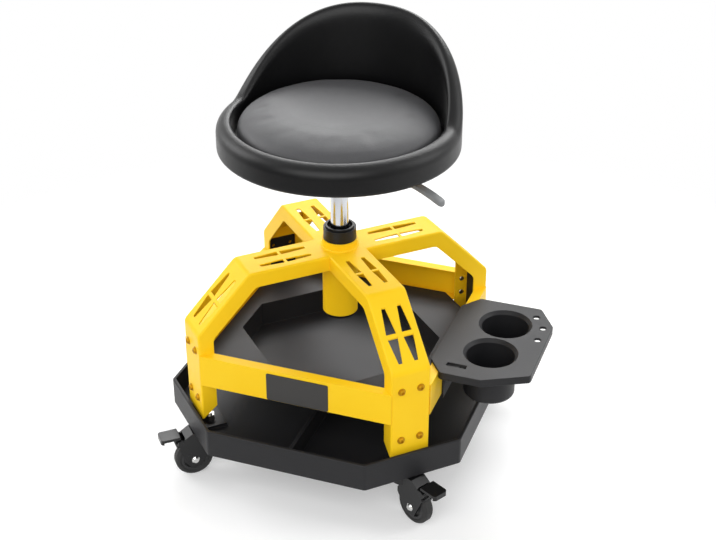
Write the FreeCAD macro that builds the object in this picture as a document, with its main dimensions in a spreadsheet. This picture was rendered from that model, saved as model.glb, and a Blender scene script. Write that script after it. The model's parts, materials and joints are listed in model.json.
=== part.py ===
import FreeCAD, Part
import Sketcher
import math
import os
import re

# A mechanic's rolling creeper seat: a padded stool top on a gas column, carried by four
# bent arms over two stacked trays, on four braked casters.
# Millimetres. The floor is z = 0, the seat faces -Y, and the origin lies on the floor under
# the middle of the outline. Each piece is drawn about the column's axis, the arm's own line,
# or its caster's swivel axis, and its Placement carries it to its place.

SIZES = {
    # octagonal base tray
    "base_half": 236,
    "base_corner": 125,
    "base_low": 85,
    "base_depth": 43,
    "base_wall": 5,
    "base_floor": 4,
    "base_round": 8,
    "base_rim_round": 2,
    "base_pad": 2,
    "base_pad_margin": 1,
    "divider_middle": 5,
    "divider_thick": 5,
    "divider_tall": 33,
    # four bent arms of folded sheet
    "sheet": 2,
    "arm_top": 349,
    "arm_half": 31,
    "arm_slope": 84,
    "arm_inset": 11.27,
    "arm_knee": 263,
    "arm_foot": 116,
    "arm_flange": 24,
    "arm_taper": 20,
    "bend_round": 14,
    "fold_round": 3,
    "slot_start": 53,
    "slot_outer_long": 40,
    "slot_bend_gap": 25,
    "slot_side": 12.5,
    "slot_half": 5.6,
    "vent_bend_gap": 15,
    "vent_inner_long": 30,
    "vent_knee_gap": 10,
    "vent_side": 12.5,
    "vent_half": 8.2,
    "vent_tip_half": 3,
    "web": 4,
    # hub and gas column
    "hub_thick": 3,
    "sleeve_radius": 27,
    "sleeve_low": 236,
    "sleeve_high": 361,
    "column_radius": 25,
    "column_bore": 20,
    "column_low": 231,
    "column_high": 380,
    "column_floor": 5,
    "bush_length": 30,
    "bush_cap": 3,
    "bush_lip": 3,
    "bush_dish": 7,
    "bearing_thick": 5,
    "bearing_radius": 14,
    "rod_radius": 5,
    "rod_collar_radius": 9,
    "rod_collar_thick": 3,
    "rod_end": 8,
    "piston_thick": 10,
    "clip_radius": 8.5,
    "clip_thick": 1.6,
    "cylinder_radius": 14,
    "cylinder_bore": 12,
    "cylinder_low": 331,
    "cylinder_cap": 6,
    "cylinder_tip_radius": 13.2,
    "cylinder_top_thick": 11,
    "lift_up": 20,
    "lift_down": 85,
    "pin_radius": 3,
    "pin_proud": 5,
    "pin_length": 17,
    # rails between the arms
    "rail_low": 179,
    "rail_tall": 51,
    "rail_lip": 16,
    "rail_shelf": 24,
    "rivet_in": 12,
    "rivet_low": 192,
    "rivet_high": 217,
    "rivet_radius": 2.4,
    "rivet_head_radius": 4.2,
    "rivet_head_thick": 1.4,
    "label_left": 43,
    "label_right": 53.5,
    "label_tall": 45,
    "label_drop": 5,
    "label_thick": 1.2,
    "label_round": 2.5,
    # foot brackets and their bolts
    "bracket_half": 24,
    "bracket_thick": 3,
    "bracket_foot": 38,
    "bracket_above": 13,
    "bolt_side": 15.2,
    "bolt_low": 148,
    "bolt_high": 232,
    "bolt_radius": 3,
    "bolt_head_radius": 5,
    "bolt_head_thick": 3,
    "washer_radius": 6.8,
    "washer_thick": 1,
    "bolt_past": 4,
    # octagonal tool tray dropped between the rails
    "tool_gap": 1.5,
    "tool_leg_gap": 35,
    "tool_edge": 9,
    "tool_wall": 3,
    "tool_ledge": 25.45,
    "tool_ledge_cut": 75,
    "well_depth": 40,
    "well_round": 5,
    # side tray hooked over the right rail
    "side_thick": 4,
    "side_wall": 3,
    "side_skirt": 9,
    "side_wide": 130.55,
    "side_front": 119,
    "side_back": 104,
    "side_front_cut": 66,
    "side_back_cut": 29,
    "side_front_cut_long": 35,
    "side_back_cut_long": 46,
    "side_inner_cut": 23,
    "side_inner_cut_long": 31,
    "side_round": 7,
    "apron_low": 172,
    "apron_front": 92,
    "apron_back": 80,
    "cup_out": 59.55,
    "cup_spacing": 86,
    "cup_radius": 36,
    "cup_wall": 2.5,
    "cup_lead": 5,
    "cup_depth": 65,
    "cup_round": 5,
    "hole_radius": 5.5,
    "hole_in": 14,
    "hole_near": 15,
    "hole_far": 50,
    "hole_corner_in": 17,
    "hole_corner_far": 78,
    "tool_slot_out": 6.55,
    "tool_slot_long": 30,
    "tool_slot_front": 98,
    "tool_slot_wide": 9,
    # seat
    "seat_radius": 180,
    "seat_ring": 25,
    "seat_low": 518,
    "seat_tall": 40,
    "seat_skirt": 4,
    "seat_edge_round": 19,
    "seat_inner_round": 5,
    "seat_foot_round": 5,
    "back_rise": 118,
    "back_edge_round": 13,
    "back_inner_round": 10,
    "back_spread_angle": 82,
    "back_dome_share": 1.22,
    "back_foot_share": 0.07,
    "board_thick": 12,
    "cushion_gap": 2,
    "cushion_side": 23,
    "cushion_crown": 16,
    "cushion_shoulder": 20,
    "cushion_pinch": 3,
    "plate_half_wide": 85,
    "plate_half_deep": 75,
    "plate_thick": 3,
    "plate_round": 12,
    "seat_bolt_wide": 70,
    "seat_bolt_deep": 60,
    "seat_bolt_radius": 3,
    "seat_bolt_head": 6,
    "seat_bolt_head_thick": 4,
    "seat_bolt_into": 9,
    # height lever and its housing, along the lever's own line
    "lever_angle": 22,
    "housing_back": 42,
    "housing_front": 62,
    "housing_half": 29,
    "housing_wall": 2.5,
    "housing_tall": 31,
    "socket_radius": 19,
    "socket_drop": 6,
    "socket_rise": 11,
    "lever_tall": 8,
    "lever_half": 3.5,
    "lever_tail": 6,
    "lever_pivot_out": 22,
    "lever_pivot_radius": 3,
    "lever_out": 140,
    "lever_fall": 9,
    "lever_slot_half": 5.5,
    "lever_slot_tall": 22,
    "paddle_reach": 197,
    "paddle_fall": 13,
    "paddle_half": 6.5,
    "paddle_tip": 8,
    "paddle_round": 2.5,
    # casters
    "caster_in": 19.85,
    "caster_trail": 29,
    "wheel_radius": 30,
    "tyre_thick": 8,
    "tyre_half": 9,
    "tyre_shoulder": 4,
    "tyre_bevel": 1.5,
    "core_rim": 4,
    "core_rim_half": 8,
    "core_web_half": 4,
    "core_boss_radius": 9,
    "axle_radius": 4,
    "axle_head_radius": 6.5,
    "axle_head_thick": 2.5,
    "slot_gap": 1.2,
    "cheek": 3,
    "hood_gap": 3,
    "hood_wall": 3,
    "boss_radius": 19,
    "boss_drop": 20,
    "cheek_back": 2,
    "cheek_back_low": 45,
    "cheek_front": 54,
    "cheek_front_low": 54,
    "cheek_foot": 17,
    "cheek_foot_half": 8.5,
    "shoulder_tall": 80,
    "shoulder_out": 31,
    "shoulder_corner_out": 44,
    "shoulder_corner_tall": 72,
    "stem_radius": 5,
    "stem_flange_thick": 3,
    "king_radius": 8.5,
    "king_thick": 3,
    "king_drop": 19,
    "nut_flat_half": 8,
    "nut_thick": 8,
    "stem_past": 3,
    "pedal_pivot_out": 48.5,
    "pedal_pivot_tall": 64,
    "pedal_barrel": 4,
    "pedal_trunnion": 2.4,
    "pedal_ear": 7,
    "pedal_notch": 10,
    "pedal_reach": 81,
    "pedal_top": 78.5,
    "pedal_thick": 4.5,
    "pedal_neck": 12,
    "pedal_neck_half": 8.5,
    "pedal_half": 13,
    "pedal_lap": 2,
    "pedal_hook": 3.5,
    "pedal_round": 5,
    "cam_out": 5.6,
    "cam_radius": 3.4,
    "cam_angle": 270,
    "turn_a": 222,
    "turn_b": -29,
    "turn_c": 135,
    "turn_d": 40,
    # clearances and the overrun that every cut may have
    "run_gap": 0.05,
    "hole_gap": 0.2,
    "face_gap": 0.3,
    "overrun": 10,
}

# Places that follow from the sizes: the legs stand inside the base tray's cut corners, and the
# rails, both upper trays and the casters follow the legs.
FOLLOWING = {
    "arm_reach": "(base_half + base_corner) / sqrt(2) - arm_inset",
    "arm_bend": "arm_reach - arm_slope",
    "slot_end": "arm_bend - slot_bend_gap",
    "slot_split": "slot_end - slot_outer_long",
    "vent_start": "arm_bend + vent_bend_gap",
    "vent_split": "vent_start + vent_inner_long",
    "vent_end": "arm_reach - vent_knee_gap",
    "rivet_out": "arm_reach - rivet_in",
    "rail_face": "(arm_reach + arm_half) * cos(45 deg)",
    "tool_half": "rail_face - rail_lip - tool_gap",
    "tool_cut": "arm_reach - tool_leg_gap",
    "well_half": "tool_half - tool_ledge",
    "well_cut": "tool_cut - tool_ledge_cut",
    "side_reach": "rail_face + side_wide",
    "cup_middle": "rail_face + cup_out",
    "hole_line": "side_reach - hole_in",
    "tool_slot_near": "rail_face + tool_slot_out",
    "tool_slot_far": "tool_slot_near + tool_slot_long",
    "caster_side": "(arm_reach - caster_in) * cos(45 deg)",
}

doc = FreeCAD.newDocument("creeper_seat")
sheet = doc.addObject("Spreadsheet::Sheet", "sizes")
CELLS = {**SIZES, **{alias: f"={text}" for alias, text in FOLLOWING.items()}}
for row, (alias, content) in enumerate(CELLS.items(), start=1):
    sheet.set(f"A{row}", alias)
    sheet.set(f"B{row}", str(content))
    sheet.setAlias(f"B{row}", alias)
doc.recompute()

# Lengths that follow from the ones above, written once as expressions.
COLUMN_X = "(base_half - side_reach) / 2"
BASE_FLOOR_TOP = "base_low + base_floor"
PAD_TOP = f"{BASE_FLOOR_TOP} + base_pad"
ARM_TURN = "atan2(arm_top - arm_knee; arm_reach - arm_bend)"
RAIL_TOP = "rail_low + rail_tall"
TOOL_LOW = "rail_low + sheet"
TOOL_TOP = f"{TOOL_LOW} + tool_edge"
SIDE_TOP = f"{RAIL_TOP} + side_thick"
SIDE_INNER = "rail_face - rail_lip - side_wall"
SEAT_TOP = "seat_low + seat_tall"
RING_INNER = "seat_radius - seat_ring"
PLATE_LOW = "seat_low - plate_thick"
HOUSING_LOW = f"{PLATE_LOW} - housing_tall"
SOCKET_LOW = f"{HOUSING_LOW} - socket_drop"
SOCKET_HIGH = f"{HOUSING_LOW} + socket_rise"
CYLINDER_TOP = SOCKET_HIGH
PIN_TOP = f"{SOCKET_HIGH} + pin_proud"
LEVER_LOW = f"{PIN_TOP} + face_gap"
PISTON_LOW = "cylinder_low + cylinder_cap + lift_up + face_gap"
CAP_LOW = "base_low - stem_flange_thick"
FORK_TOP = f"{CAP_LOW} - face_gap"
SLOT_HALF = "tyre_half + slot_gap"
FORK_HALF = f"{SLOT_HALF} + cheek"
HOOD_RADIUS = "wheel_radius + hood_gap + hood_wall"
KING_HIGH = f"{FORK_TOP} - king_drop"


def bound(text):
    """An expression in the sheet's aliases, as the document's objects write it."""
    return re.sub(r"[a-z]\w*", lambda word: f"sizes.{word[0]}" if word[0] in CELLS else word[0], text)


def value(text):
    number = sheet.evalExpression(text)
    return getattr(number, "Value", number)


def origin_item(body, role):
    return next(item for item in body.Origin.OriginFeatures if item.Role == role)


def new_body(node):
    body = doc.addObject("PartDesign::Body", node)
    body.Label = node
    return body


def outline_sketch(body, role, outlines=(), circles=(), offset=("0", "0", "0"), lean=0):
    """A sketch of closed outlines, lists of (across, up), and circles, (across, up, radius),
    its plane turned by lean about its own upright line."""
    sketch = body.newObject("Sketcher::SketchObject", f"{body.Name}_outline")
    sketch.AttachmentSupport = [(origin_item(body, role), "")]
    sketch.MapMode = "FlatFace"
    sketch.AttachmentOffset = FreeCAD.Placement(
        FreeCAD.Vector(), FreeCAD.Rotation(FreeCAD.Vector(0, 1, 0), lean))
    for letter, text in zip("xyz", offset):
        sketch.setExpression(f"AttachmentOffset.Base.{letter}", bound(text))

    def fix(kind, index, vertex, text):
        number = sketch.addConstraint(Sketcher.Constraint(kind, -1, 1, index, vertex, value(text)))
        sketch.setExpression(f"Constraints[{number}]", bound(text))

    for points in outlines:
        places = [FreeCAD.Vector(value(across), value(up), 0) for across, up in points]
        count = len(points)
        first = sketch.GeometryCount
        for index, place in enumerate(places):
            sketch.addGeometry(Part.LineSegment(place, places[(index + 1) % count]), False)
        for index in range(count):
            following = first + (index + 1) % count
            sketch.addConstraint(Sketcher.Constraint("Coincident", first + index, 2, following, 1))
        for index, (across, up) in enumerate(points):
            fix("DistanceX", first + index, 1, across)
            fix("DistanceY", first + index, 1, up)
    for across, up, radius in circles:
        middle = FreeCAD.Vector(value(across), value(up), 0)
        ring = Part.Circle(middle, FreeCAD.Vector(0, 0, 1), value(radius))
        index = sketch.addGeometry(ring, False)
        fix("DistanceX", index, 3, across)
        fix("DistanceY", index, 3, up)
        number = sketch.addConstraint(Sketcher.Constraint("Radius", index, value(radius)))
        sketch.setExpression(f"Constraints[{number}]", bound(radius))
    return sketch


def pad(body, sketch, length, midplane=False, reverse=False):
    feature = body.newObject("PartDesign::Pad", f"{body.Name}_pad")
    feature.Profile = sketch
    feature.setExpression("Length", bound(length))
    feature.Midplane = midplane
    feature.Reversed = reverse
    doc.recompute()
    return feature


def pocket(body, sketch, length=None, midplane=False, reverse=False):
    """Cuts the sketch out of the body, right through where no length is given."""
    before = body.Shape.Volume
    feature = body.newObject("PartDesign::Pocket", f"{body.Name}_pocket")
    feature.Profile = sketch
    if length is None:
        feature.Type = "ThroughAll"
    else:
        feature.setExpression("Length", bound(length))
    feature.Midplane = midplane
    feature.Reversed = reverse
    doc.recompute()
    if not body.Shape.Volume < before:
        raise ValueError(f"{feature.Name} cuts nothing")
    return feature


def turned(node, profile, offset=("0", "0", "0"), crosswise=False):
    """A piece turned from its half profile, (along the axis, radius), about a level axis
    along the body's Y, or (radius, height) about its Z."""
    body = new_body(node)
    role = "YZ_Plane" if crosswise else "XZ_Plane"
    sketch = outline_sketch(body, role, [profile], offset=offset)
    feature = body.newObject("PartDesign::Revolution", f"{node}_turned")
    feature.Profile = sketch
    feature.ReferenceAxis = (sketch, ["H_Axis" if crosswise else "V_Axis"])
    feature.Angle = 360
    doc.recompute()
    return body


def pattern_round(body, features):
    """Four copies of the features about the body's Z axis."""
    pattern = body.newObject("PartDesign::PolarPattern", f"{body.Name}_pattern")
    pattern.Originals = features
    pattern.Axis = (origin_item(body, "Z_Axis"), [""])
    pattern.Angle = 360
    pattern.Occurrences = 4
    body.Tip = pattern
    doc.recompute()


def round_edges(body, picks, radius):
    """Rounds the edges that picks(edge) chooses."""
    names = [f"Edge{number}" for number, edge in enumerate(body.Shape.Edges, start=1) if picks(edge)]
    base = body.Tip
    feature = body.newObject("PartDesign::Fillet", f"{body.Name}_round")
    feature.Base = (base, names)
    body.Tip = feature
    feature.setExpression("Radius", bound(radius))
    doc.recompute()
    return feature


def bevel_edges(body, picks, size):
    names = [f"Edge{number}" for number, edge in enumerate(body.Shape.Edges, start=1) if picks(edge)]
    base = body.Tip
    feature = body.newObject("PartDesign::Chamfer", f"{body.Name}_bevel")
    feature.Base = (base, names)
    body.Tip = feature
    feature.setExpression("Size", bound(size))
    doc.recompute()
    return feature


def place(piece, turn="0", across="0", back="0"):
    """Turns a piece about its upright axis and carries it to its place from the column."""
    piece.Placement = FreeCAD.Placement(FreeCAD.Vector(), FreeCAD.Rotation(FreeCAD.Vector(0, 0, 1), 0))
    piece.setExpression("Placement.Rotation.Angle", f"({bound(turn)}) * 1 deg")
    piece.setExpression("Placement.Base.x", bound(f"{COLUMN_X} + {across}"))
    piece.setExpression("Placement.Base.y", bound(back))
    parts.append(piece)
    return piece


def octagon(half, corner):
    return [
        (half, f"-({corner})"), (half, corner), (corner, half), (f"-({corner})", half),
        (f"-({half})", corner), (f"-({half})", f"-({corner})"),
        (f"-({corner})", f"-({half})"), (corner, f"-({half})"),
    ]


def rectangle(left, low, right, high):
    return [(left, low), (right, low), (right, high), (left, high)]


def near(number, text):
    return abs(number - value(text)) < value("run_gap")


def upright(edge):
    """True for a straight edge along Z."""
    ends = [vertex.Point for vertex in edge.Vertexes]
    return len(ends) == 2 and math.hypot(ends[0].x - ends[1].x, ends[0].y - ends[1].y) < value("run_gap")


parts = []


# The base tray: an octagonal pan with a low divider, which the feet and casters clamp between them.

def base_tray():
    body = new_body("base_tray")
    pad(body, outline_sketch(body, "XY_Plane", [octagon("base_half", "base_corner")],
                             offset=("0", "0", "base_low")), "base_depth")
    round_edges(body, upright, "base_round")
    rim = "base_low + base_depth"
    round_edges(body, lambda edge: all(near(vertex.Z, rim) for vertex in edge.Vertexes), "base_rim_round")
    inner = octagon("base_half - base_wall", "base_corner - base_wall * tan(22.5 deg)")
    pocket(body, outline_sketch(body, "XY_Plane", [inner], offset=("0", "0", BASE_FLOOR_TOP)), reverse=True)
    wall = "base_half - base_wall"
    strip = rectangle("divider_middle - divider_thick / 2", f"-({wall})",
                      "divider_middle + divider_thick / 2", wall)
    pad(body, outline_sketch(body, "XY_Plane", [strip], offset=("0", "0", BASE_FLOOR_TOP)), "divider_tall")
    near_edge = "arm_reach - sheet - bracket_foot - base_pad_margin"
    far_edge = "(base_half + base_corner) / sqrt(2) - base_wall / 2"
    half = "bracket_half + base_pad_margin"
    raised = [(f"({along} - {sign}({half})) / sqrt(2)", f"({along} + {sign}({half})) / sqrt(2)")
              for along, sign in ((near_edge, ""), (far_edge, ""), (far_edge, "-"), (near_edge, "-"))]
    sketch = outline_sketch(body, "XY_Plane", [raised], offset=("0", "0", BASE_FLOOR_TOP))
    pattern_round(body, [pad(body, sketch, "base_pad")])
    side = "caster_side"
    stem_hole = "stem_radius + hole_gap"
    holes = [(f"{x}{side}", f"{y}{side}", stem_hole) for x in ("", "-") for y in ("", "-")]
    pocket(body, outline_sketch(body, "XY_Plane", circles=holes), reverse=True)
    place(body)


# The tool tray: a shallow octagonal drop-in pan whose rim rests on the rails' shelves.

def tool_tray():
    body = new_body("tool_tray")
    corner = "tool_cut * sqrt(2) - tool_half"
    pad(body, outline_sketch(body, "XY_Plane", [octagon("tool_half", corner)], offset=("0", "0", TOOL_LOW)),
        "tool_edge")
    round_edges(body, upright, "well_round")
    under = octagon("tool_half - tool_wall", f"{corner} - tool_wall * tan(22.5 deg)")
    pocket(body, outline_sketch(body, "XY_Plane", [under]), f"{TOOL_TOP} - tool_wall", reverse=True)
    well_corner = "well_cut * sqrt(2) - well_half"
    outside = octagon("well_half + tool_wall", f"{well_corner} + tool_wall * tan(22.5 deg)")
    well_low = f"{TOOL_TOP} - well_depth - tool_wall"
    pad(body, outline_sketch(body, "XY_Plane", [outside], offset=("0", "0", well_low)),
        "well_depth")
    inside = octagon("well_half", well_corner)
    pocket(body, outline_sketch(body, "XY_Plane", [inside], offset=("0", "0", f"{TOOL_TOP} - well_depth")),
           reverse=True)
    place(body)


# The four arms: inverted channels folded from sheet, flat over the hub, sloped, then upright.

def trapezium(start, end, side, start_half, end_half):
    return [(start, f"{side} - {start_half}"), (end, f"{side} - {end_half}"),
            (end, f"{side} + {end_half}"), (start, f"{side} + {start_half}")]


def arm_line(inset, from_middle, foot, past="0"):
    """The arm's outer line, seen from the side, moved inwards by inset."""
    return [
        (f"{from_middle} - {past}", f"arm_top - {inset}"),
        (f"arm_bend - {inset} * tan({ARM_TURN} / 2)", f"arm_top - {inset}"),
        (f"arm_reach - {inset}", f"arm_knee - {inset} * tan((90 deg - {ARM_TURN}) / 2)"),
        (f"arm_reach - {inset}", foot),
    ]


def arm(letter, turn):
    body = new_body(f"arm_{letter}")
    outer = arm_line("0", "arm_half", "arm_foot")
    inner = arm_line("arm_flange", "arm_half", "arm_foot + arm_taper")
    pad(body, outline_sketch(body, "XZ_Plane", [outer + inner[::-1]]), "2 * arm_half", midplane=True)

    corners = outer[1:3] + inner[1:3]

    def is_bend(edge):
        ends = [vertex.Point for vertex in edge.Vertexes]
        if len(ends) != 2 or abs(ends[0].y - ends[1].y) < value("arm_half"):
            return False
        return any(near(ends[0].x, across) and near(ends[0].z, up) for across, up in corners)

    round_edges(body, is_bend, "bend_round")

    outside = Part.Face(Part.makePolygon([
        FreeCAD.Vector(value(across), 0, value(up))
        for across, up in arm_line("0", "arm_half", "arm_foot") + [("arm_half", "arm_foot"),
                                                                    ("arm_half", "arm_top")]]))

    def is_fold(edge):
        middle = edge.valueAt((edge.FirstParameter + edge.LastParameter) / 2)
        ends = [vertex.Point for vertex in edge.Vertexes] + [middle]
        if any(abs(abs(end.y) - value("arm_half")) > value("run_gap") for end in ends):
            return False
        depth = [Part.Vertex(end.x, 0, end.z).distToShape(outside.OuterWire)[0] for end in ends]
        line = all(end.z > value("arm_foot") - value("run_gap") for end in ends)
        return line and max(depth) < value("fold_round") and max(end.x for end in ends) > value("arm_bend / 2")

    round_edges(body, is_fold, "fold_round")
    hollow = arm_line("sheet", "arm_half", "arm_foot - overrun", "overrun")
    hollow.append(("arm_half - overrun", "arm_foot - overrun"))
    pocket(body, outline_sketch(body, "XZ_Plane", [hollow]), "2 * (arm_half - sheet)", midplane=True)

    holes = []
    for sign in ("", "-"):
        holes.append(trapezium("slot_start", "slot_split - web / 2", f"{sign}slot_side",
                               "vent_tip_half", "slot_half"))
        holes.append(trapezium("slot_split + web / 2", "slot_end", f"{sign}slot_side",
                               "slot_half", "vent_tip_half"))
        holes.append(trapezium("vent_start", "vent_split - web / 2", f"{sign}vent_side",
                               "vent_tip_half", "vent_half"))
        holes.append(trapezium("vent_split + web / 2", "vent_end", f"{sign}vent_side",
                               "vent_half", "vent_tip_half"))
    pocket(body, outline_sketch(body, "XY_Plane", holes), reverse=True)
    bolts = [(f"{sign}bolt_side", tall, "bolt_radius + hole_gap")
             for sign in ("", "-") for tall in ("bolt_low", "bolt_high")]
    pocket(body, outline_sketch(body, "YZ_Plane", circles=bolts), reverse=True)
    rivets = [("rivet_out", tall, "rivet_radius") for tall in ("rivet_low", "rivet_high")]
    pocket(body, outline_sketch(body, "XZ_Plane", circles=rivets), midplane=True)
    place(body, turn)


def hub_plate():
    body = new_body("hub_plate")
    square = rectangle("-arm_half", "-arm_half", "arm_half", "arm_half")
    low = "arm_top - hub_thick"
    pad(body, outline_sketch(body, "XY_Plane", [square], [("0", "0", "sleeve_radius")],
                             offset=("0", "0", low)), "hub_thick")
    place(body, "45")


# Four channel rails, whose ends are cut to lie flat against the arms' flanges.

def rail(name, turn):
    body = new_body(name)
    face = "rail_face"

    def strip(depth, low, tall):
        outline = [
            (f"-(({face}) - arm_half * sqrt(2))", f"-({face})"),
            (f"({face}) - arm_half * sqrt(2)", f"-({face})"),
            (f"({face}) - {depth} - arm_half * sqrt(2)", f"{depth} - ({face})"),
            (f"-(({face}) - {depth} - arm_half * sqrt(2))", f"{depth} - ({face})"),
        ]
        pad(body, outline_sketch(body, "XY_Plane", [outline], offset=("0", "0", low)), tall)

    strip("sheet", "rail_low", "rail_tall")
    strip("rail_lip", f"{RAIL_TOP} - sheet", "sheet")
    strip("rail_shelf", "rail_low", "sheet")
    plate = rectangle("arm_reach - rail_lip * sqrt(2)", "rail_low", "arm_reach - sheet", RAIL_TOP)
    rivets = [("rivet_out", tall, "rivet_radius") for tall in ("rivet_low", "rivet_high")]
    for lean, out in ((-45, "arm_half"), (-135, "-(arm_half + sheet)")):
        place_out = (f"({out}) * sin({lean} deg)", "0", f"({out}) * cos({lean} deg)")
        pad(body, outline_sketch(body, "XZ_Plane", [plate], rivets, place_out, lean), "sheet")
    place(body, turn)


def rail_rivets():
    body = new_body("rail_rivets")
    body.AllowCompound = True
    layers = [("rivet_head_radius", "arm_half - sheet - rivet_head_thick", "rivet_head_thick"),
              ("rivet_radius", "arm_half - sheet", "2 * sheet"),
              ("rivet_head_radius", "arm_half + sheet", "rivet_head_thick")]
    pads = []
    for radius, start, length in layers:
        circles = [("rivet_out", tall, radius) for tall in ("rivet_low", "rivet_high")]
        for out in (start, f"-({start} + {length})"):
            sketch = outline_sketch(body, "XZ_Plane", circles=circles, offset=("0", "0", out))
            pads.append(pad(body, sketch, length))
    pattern_round(body, pads)
    place(body, "45")


def label_plate():
    body = new_body("label_plate")
    low = f"{RAIL_TOP} - label_drop - label_tall"
    outline = rectangle("-label_left", low, "label_right", f"{low} + label_tall")
    pad(body, outline_sketch(body, "XZ_Plane", [outline], offset=("0", "0", "rail_face")), "label_thick")
    thick = value("label_thick")

    def is_corner(edge):
        ends = [vertex.Point for vertex in edge.Vertexes]
        return abs(abs(ends[0].y - ends[-1].y) - thick) < value("run_gap")

    round_edges(body, is_corner, "label_round")
    place(body)


# An angle bracket inside each leg: it bolts to the leg and stands on the base tray's floor.

def foot_bracket(letter, turn):
    body = new_body(f"foot_bracket_{letter}")
    outer = "arm_reach - sheet"
    top = "bolt_high + bracket_above"
    outline = [
        (outer, PAD_TOP), (outer, top), (f"{outer} - bracket_thick", top),
        (f"{outer} - bracket_thick", f"{PAD_TOP} + bracket_thick"),
        (f"{outer} - bracket_foot", f"{PAD_TOP} + bracket_thick"),
        (f"{outer} - bracket_foot", PAD_TOP),
    ]
    pad(body, outline_sketch(body, "XZ_Plane", [outline]), "2 * bracket_half", midplane=True)
    bolts = [(f"{sign}bolt_side", tall, "bolt_radius")
             for sign in ("", "-") for tall in ("bolt_low", "bolt_high")]
    pocket(body, outline_sketch(body, "YZ_Plane", circles=bolts), reverse=True)
    stem = [("caster_side * sqrt(2)", "0", "stem_radius + hole_gap")]
    pocket(body, outline_sketch(body, "XY_Plane", circles=stem), reverse=True)
    place(body, turn)


def foot_bolts():
    body = new_body("foot_bolts")
    body.AllowCompound = True
    spots = [(f"{sign}bolt_side", tall) for sign in ("", "-") for tall in ("bolt_low", "bolt_high")]

    def discs(radius, out, length, reverse=False):
        circles = [(across, up, radius) for across, up in spots]
        sketch = outline_sketch(body, "YZ_Plane", circles=circles, offset=("0", "0", out))
        return pad(body, sketch, length, reverse=reverse)

    washers = discs("washer_radius", "arm_reach", "washer_thick")
    heads = discs("bolt_head_radius", "arm_reach + washer_thick", "bolt_head_thick")
    shanks = discs("bolt_radius", "arm_reach", "sheet + bracket_thick + bolt_past", reverse=True)
    pattern_round(body, [washers, heads, shanks])
    place(body, "45")


# The gas column: an outer tube welded in the hub, and the chrome cylinder that slides in its bush.

def hub_sleeve():
    place(turned("hub_sleeve", rectangle("column_radius", "sleeve_low", "sleeve_radius", "sleeve_high")))


def column_tube():
    floor = "column_low + column_floor"
    place(turned("column_tube", [
        ("rod_radius + run_gap", "column_low"), ("column_radius", "column_low"),
        ("column_radius", "column_high"), ("column_bore", "column_high"),
        ("column_bore", floor), ("rod_radius + run_gap", floor)]))


def guide_bush():
    place(turned("guide_bush", [
        ("cylinder_radius + run_gap", "column_high - bush_length"),
        ("column_bore", "column_high - bush_length"), ("column_bore", "column_high"),
        ("column_radius - bush_cap", "column_high"),
        ("column_radius - bush_cap", "column_high + bush_cap"),
        ("column_radius - bush_cap - bush_lip", "column_high + bush_cap"),
        ("column_radius - bush_cap - bush_lip", "column_high + bush_cap - bush_dish"),
        ("cylinder_radius + run_gap", "column_high + bush_cap - bush_dish")]))


def thrust_bearing():
    floor = "column_low + column_floor"
    place(turned("thrust_bearing", rectangle("rod_radius + run_gap", floor, "bearing_radius",
                                             f"{floor} + bearing_thick")))


def piston_rod():
    collar = "column_low + column_floor + bearing_thick + run_gap"
    head = PISTON_LOW
    place(turned("piston_rod", [
        ("0", "column_low - rod_end"), ("rod_radius", "column_low - rod_end"),
        ("rod_radius", collar), ("rod_collar_radius", collar),
        ("rod_collar_radius", f"{collar} + rod_collar_thick"),
        ("rod_radius", f"{collar} + rod_collar_thick"), ("rod_radius", head),
        ("cylinder_bore - run_gap", head), ("cylinder_bore - run_gap", f"{head} + piston_thick"),
        ("0", f"{head} + piston_thick")]))


def retaining_clip():
    high = "column_low - face_gap"
    place(turned("retaining_clip", rectangle("rod_radius", f"{high} - clip_thick", "clip_radius", high)))


def gas_cylinder():
    place(turned("gas_cylinder", [
        ("rod_radius + run_gap", "cylinder_low"), ("cylinder_radius", "cylinder_low"),
        ("cylinder_radius", SOCKET_LOW), ("cylinder_tip_radius", CYLINDER_TOP),
        ("pin_radius", CYLINDER_TOP), ("pin_radius", f"{CYLINDER_TOP} - cylinder_top_thick"),
        ("cylinder_bore", f"{CYLINDER_TOP} - cylinder_top_thick"),
        ("cylinder_bore", "cylinder_low + cylinder_cap"),
        ("rod_radius + run_gap", "cylinder_low + cylinder_cap")]))


def release_pin():
    place(turned("release_pin", rectangle("0", f"{PIN_TOP} - pin_length", "pin_radius - run_gap", PIN_TOP)),
          "-lever_angle")


# The seat: board, plate, lever housing, crowned cushion and the padded ring with its low back.

def seat_board():
    body = turned("seat_board", rectangle("0", "seat_low", f"{RING_INNER} - run_gap", "seat_low + board_thick"))
    holes = [(f"{x}seat_bolt_wide", f"{y}seat_bolt_deep", "seat_bolt_radius")
             for x in ("", "-") for y in ("", "-")]
    pocket(body, outline_sketch(body, "XY_Plane", circles=holes, offset=("0", "0", "seat_low")),
           "seat_bolt_into", reverse=True)
    place(body)


def seat_plate():
    body = new_body("seat_plate")
    outline = rectangle("-plate_half_wide", "-plate_half_deep", "plate_half_wide", "plate_half_deep")
    holes = [(f"{x}seat_bolt_wide", f"{y}seat_bolt_deep", "seat_bolt_radius + hole_gap")
             for x in ("", "-") for y in ("", "-")]
    pad(body, outline_sketch(body, "XY_Plane", [outline], holes, offset=("0", "0", PLATE_LOW)),
        "plate_thick")
    corner = value("plate_half_wide + plate_half_deep") - value("overrun")
    round_edges(body, lambda edge: upright(edge) and all(
        abs(vertex.X) + abs(vertex.Y) > corner for vertex in edge.Vertexes), "plate_round")
    place(body)


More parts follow.
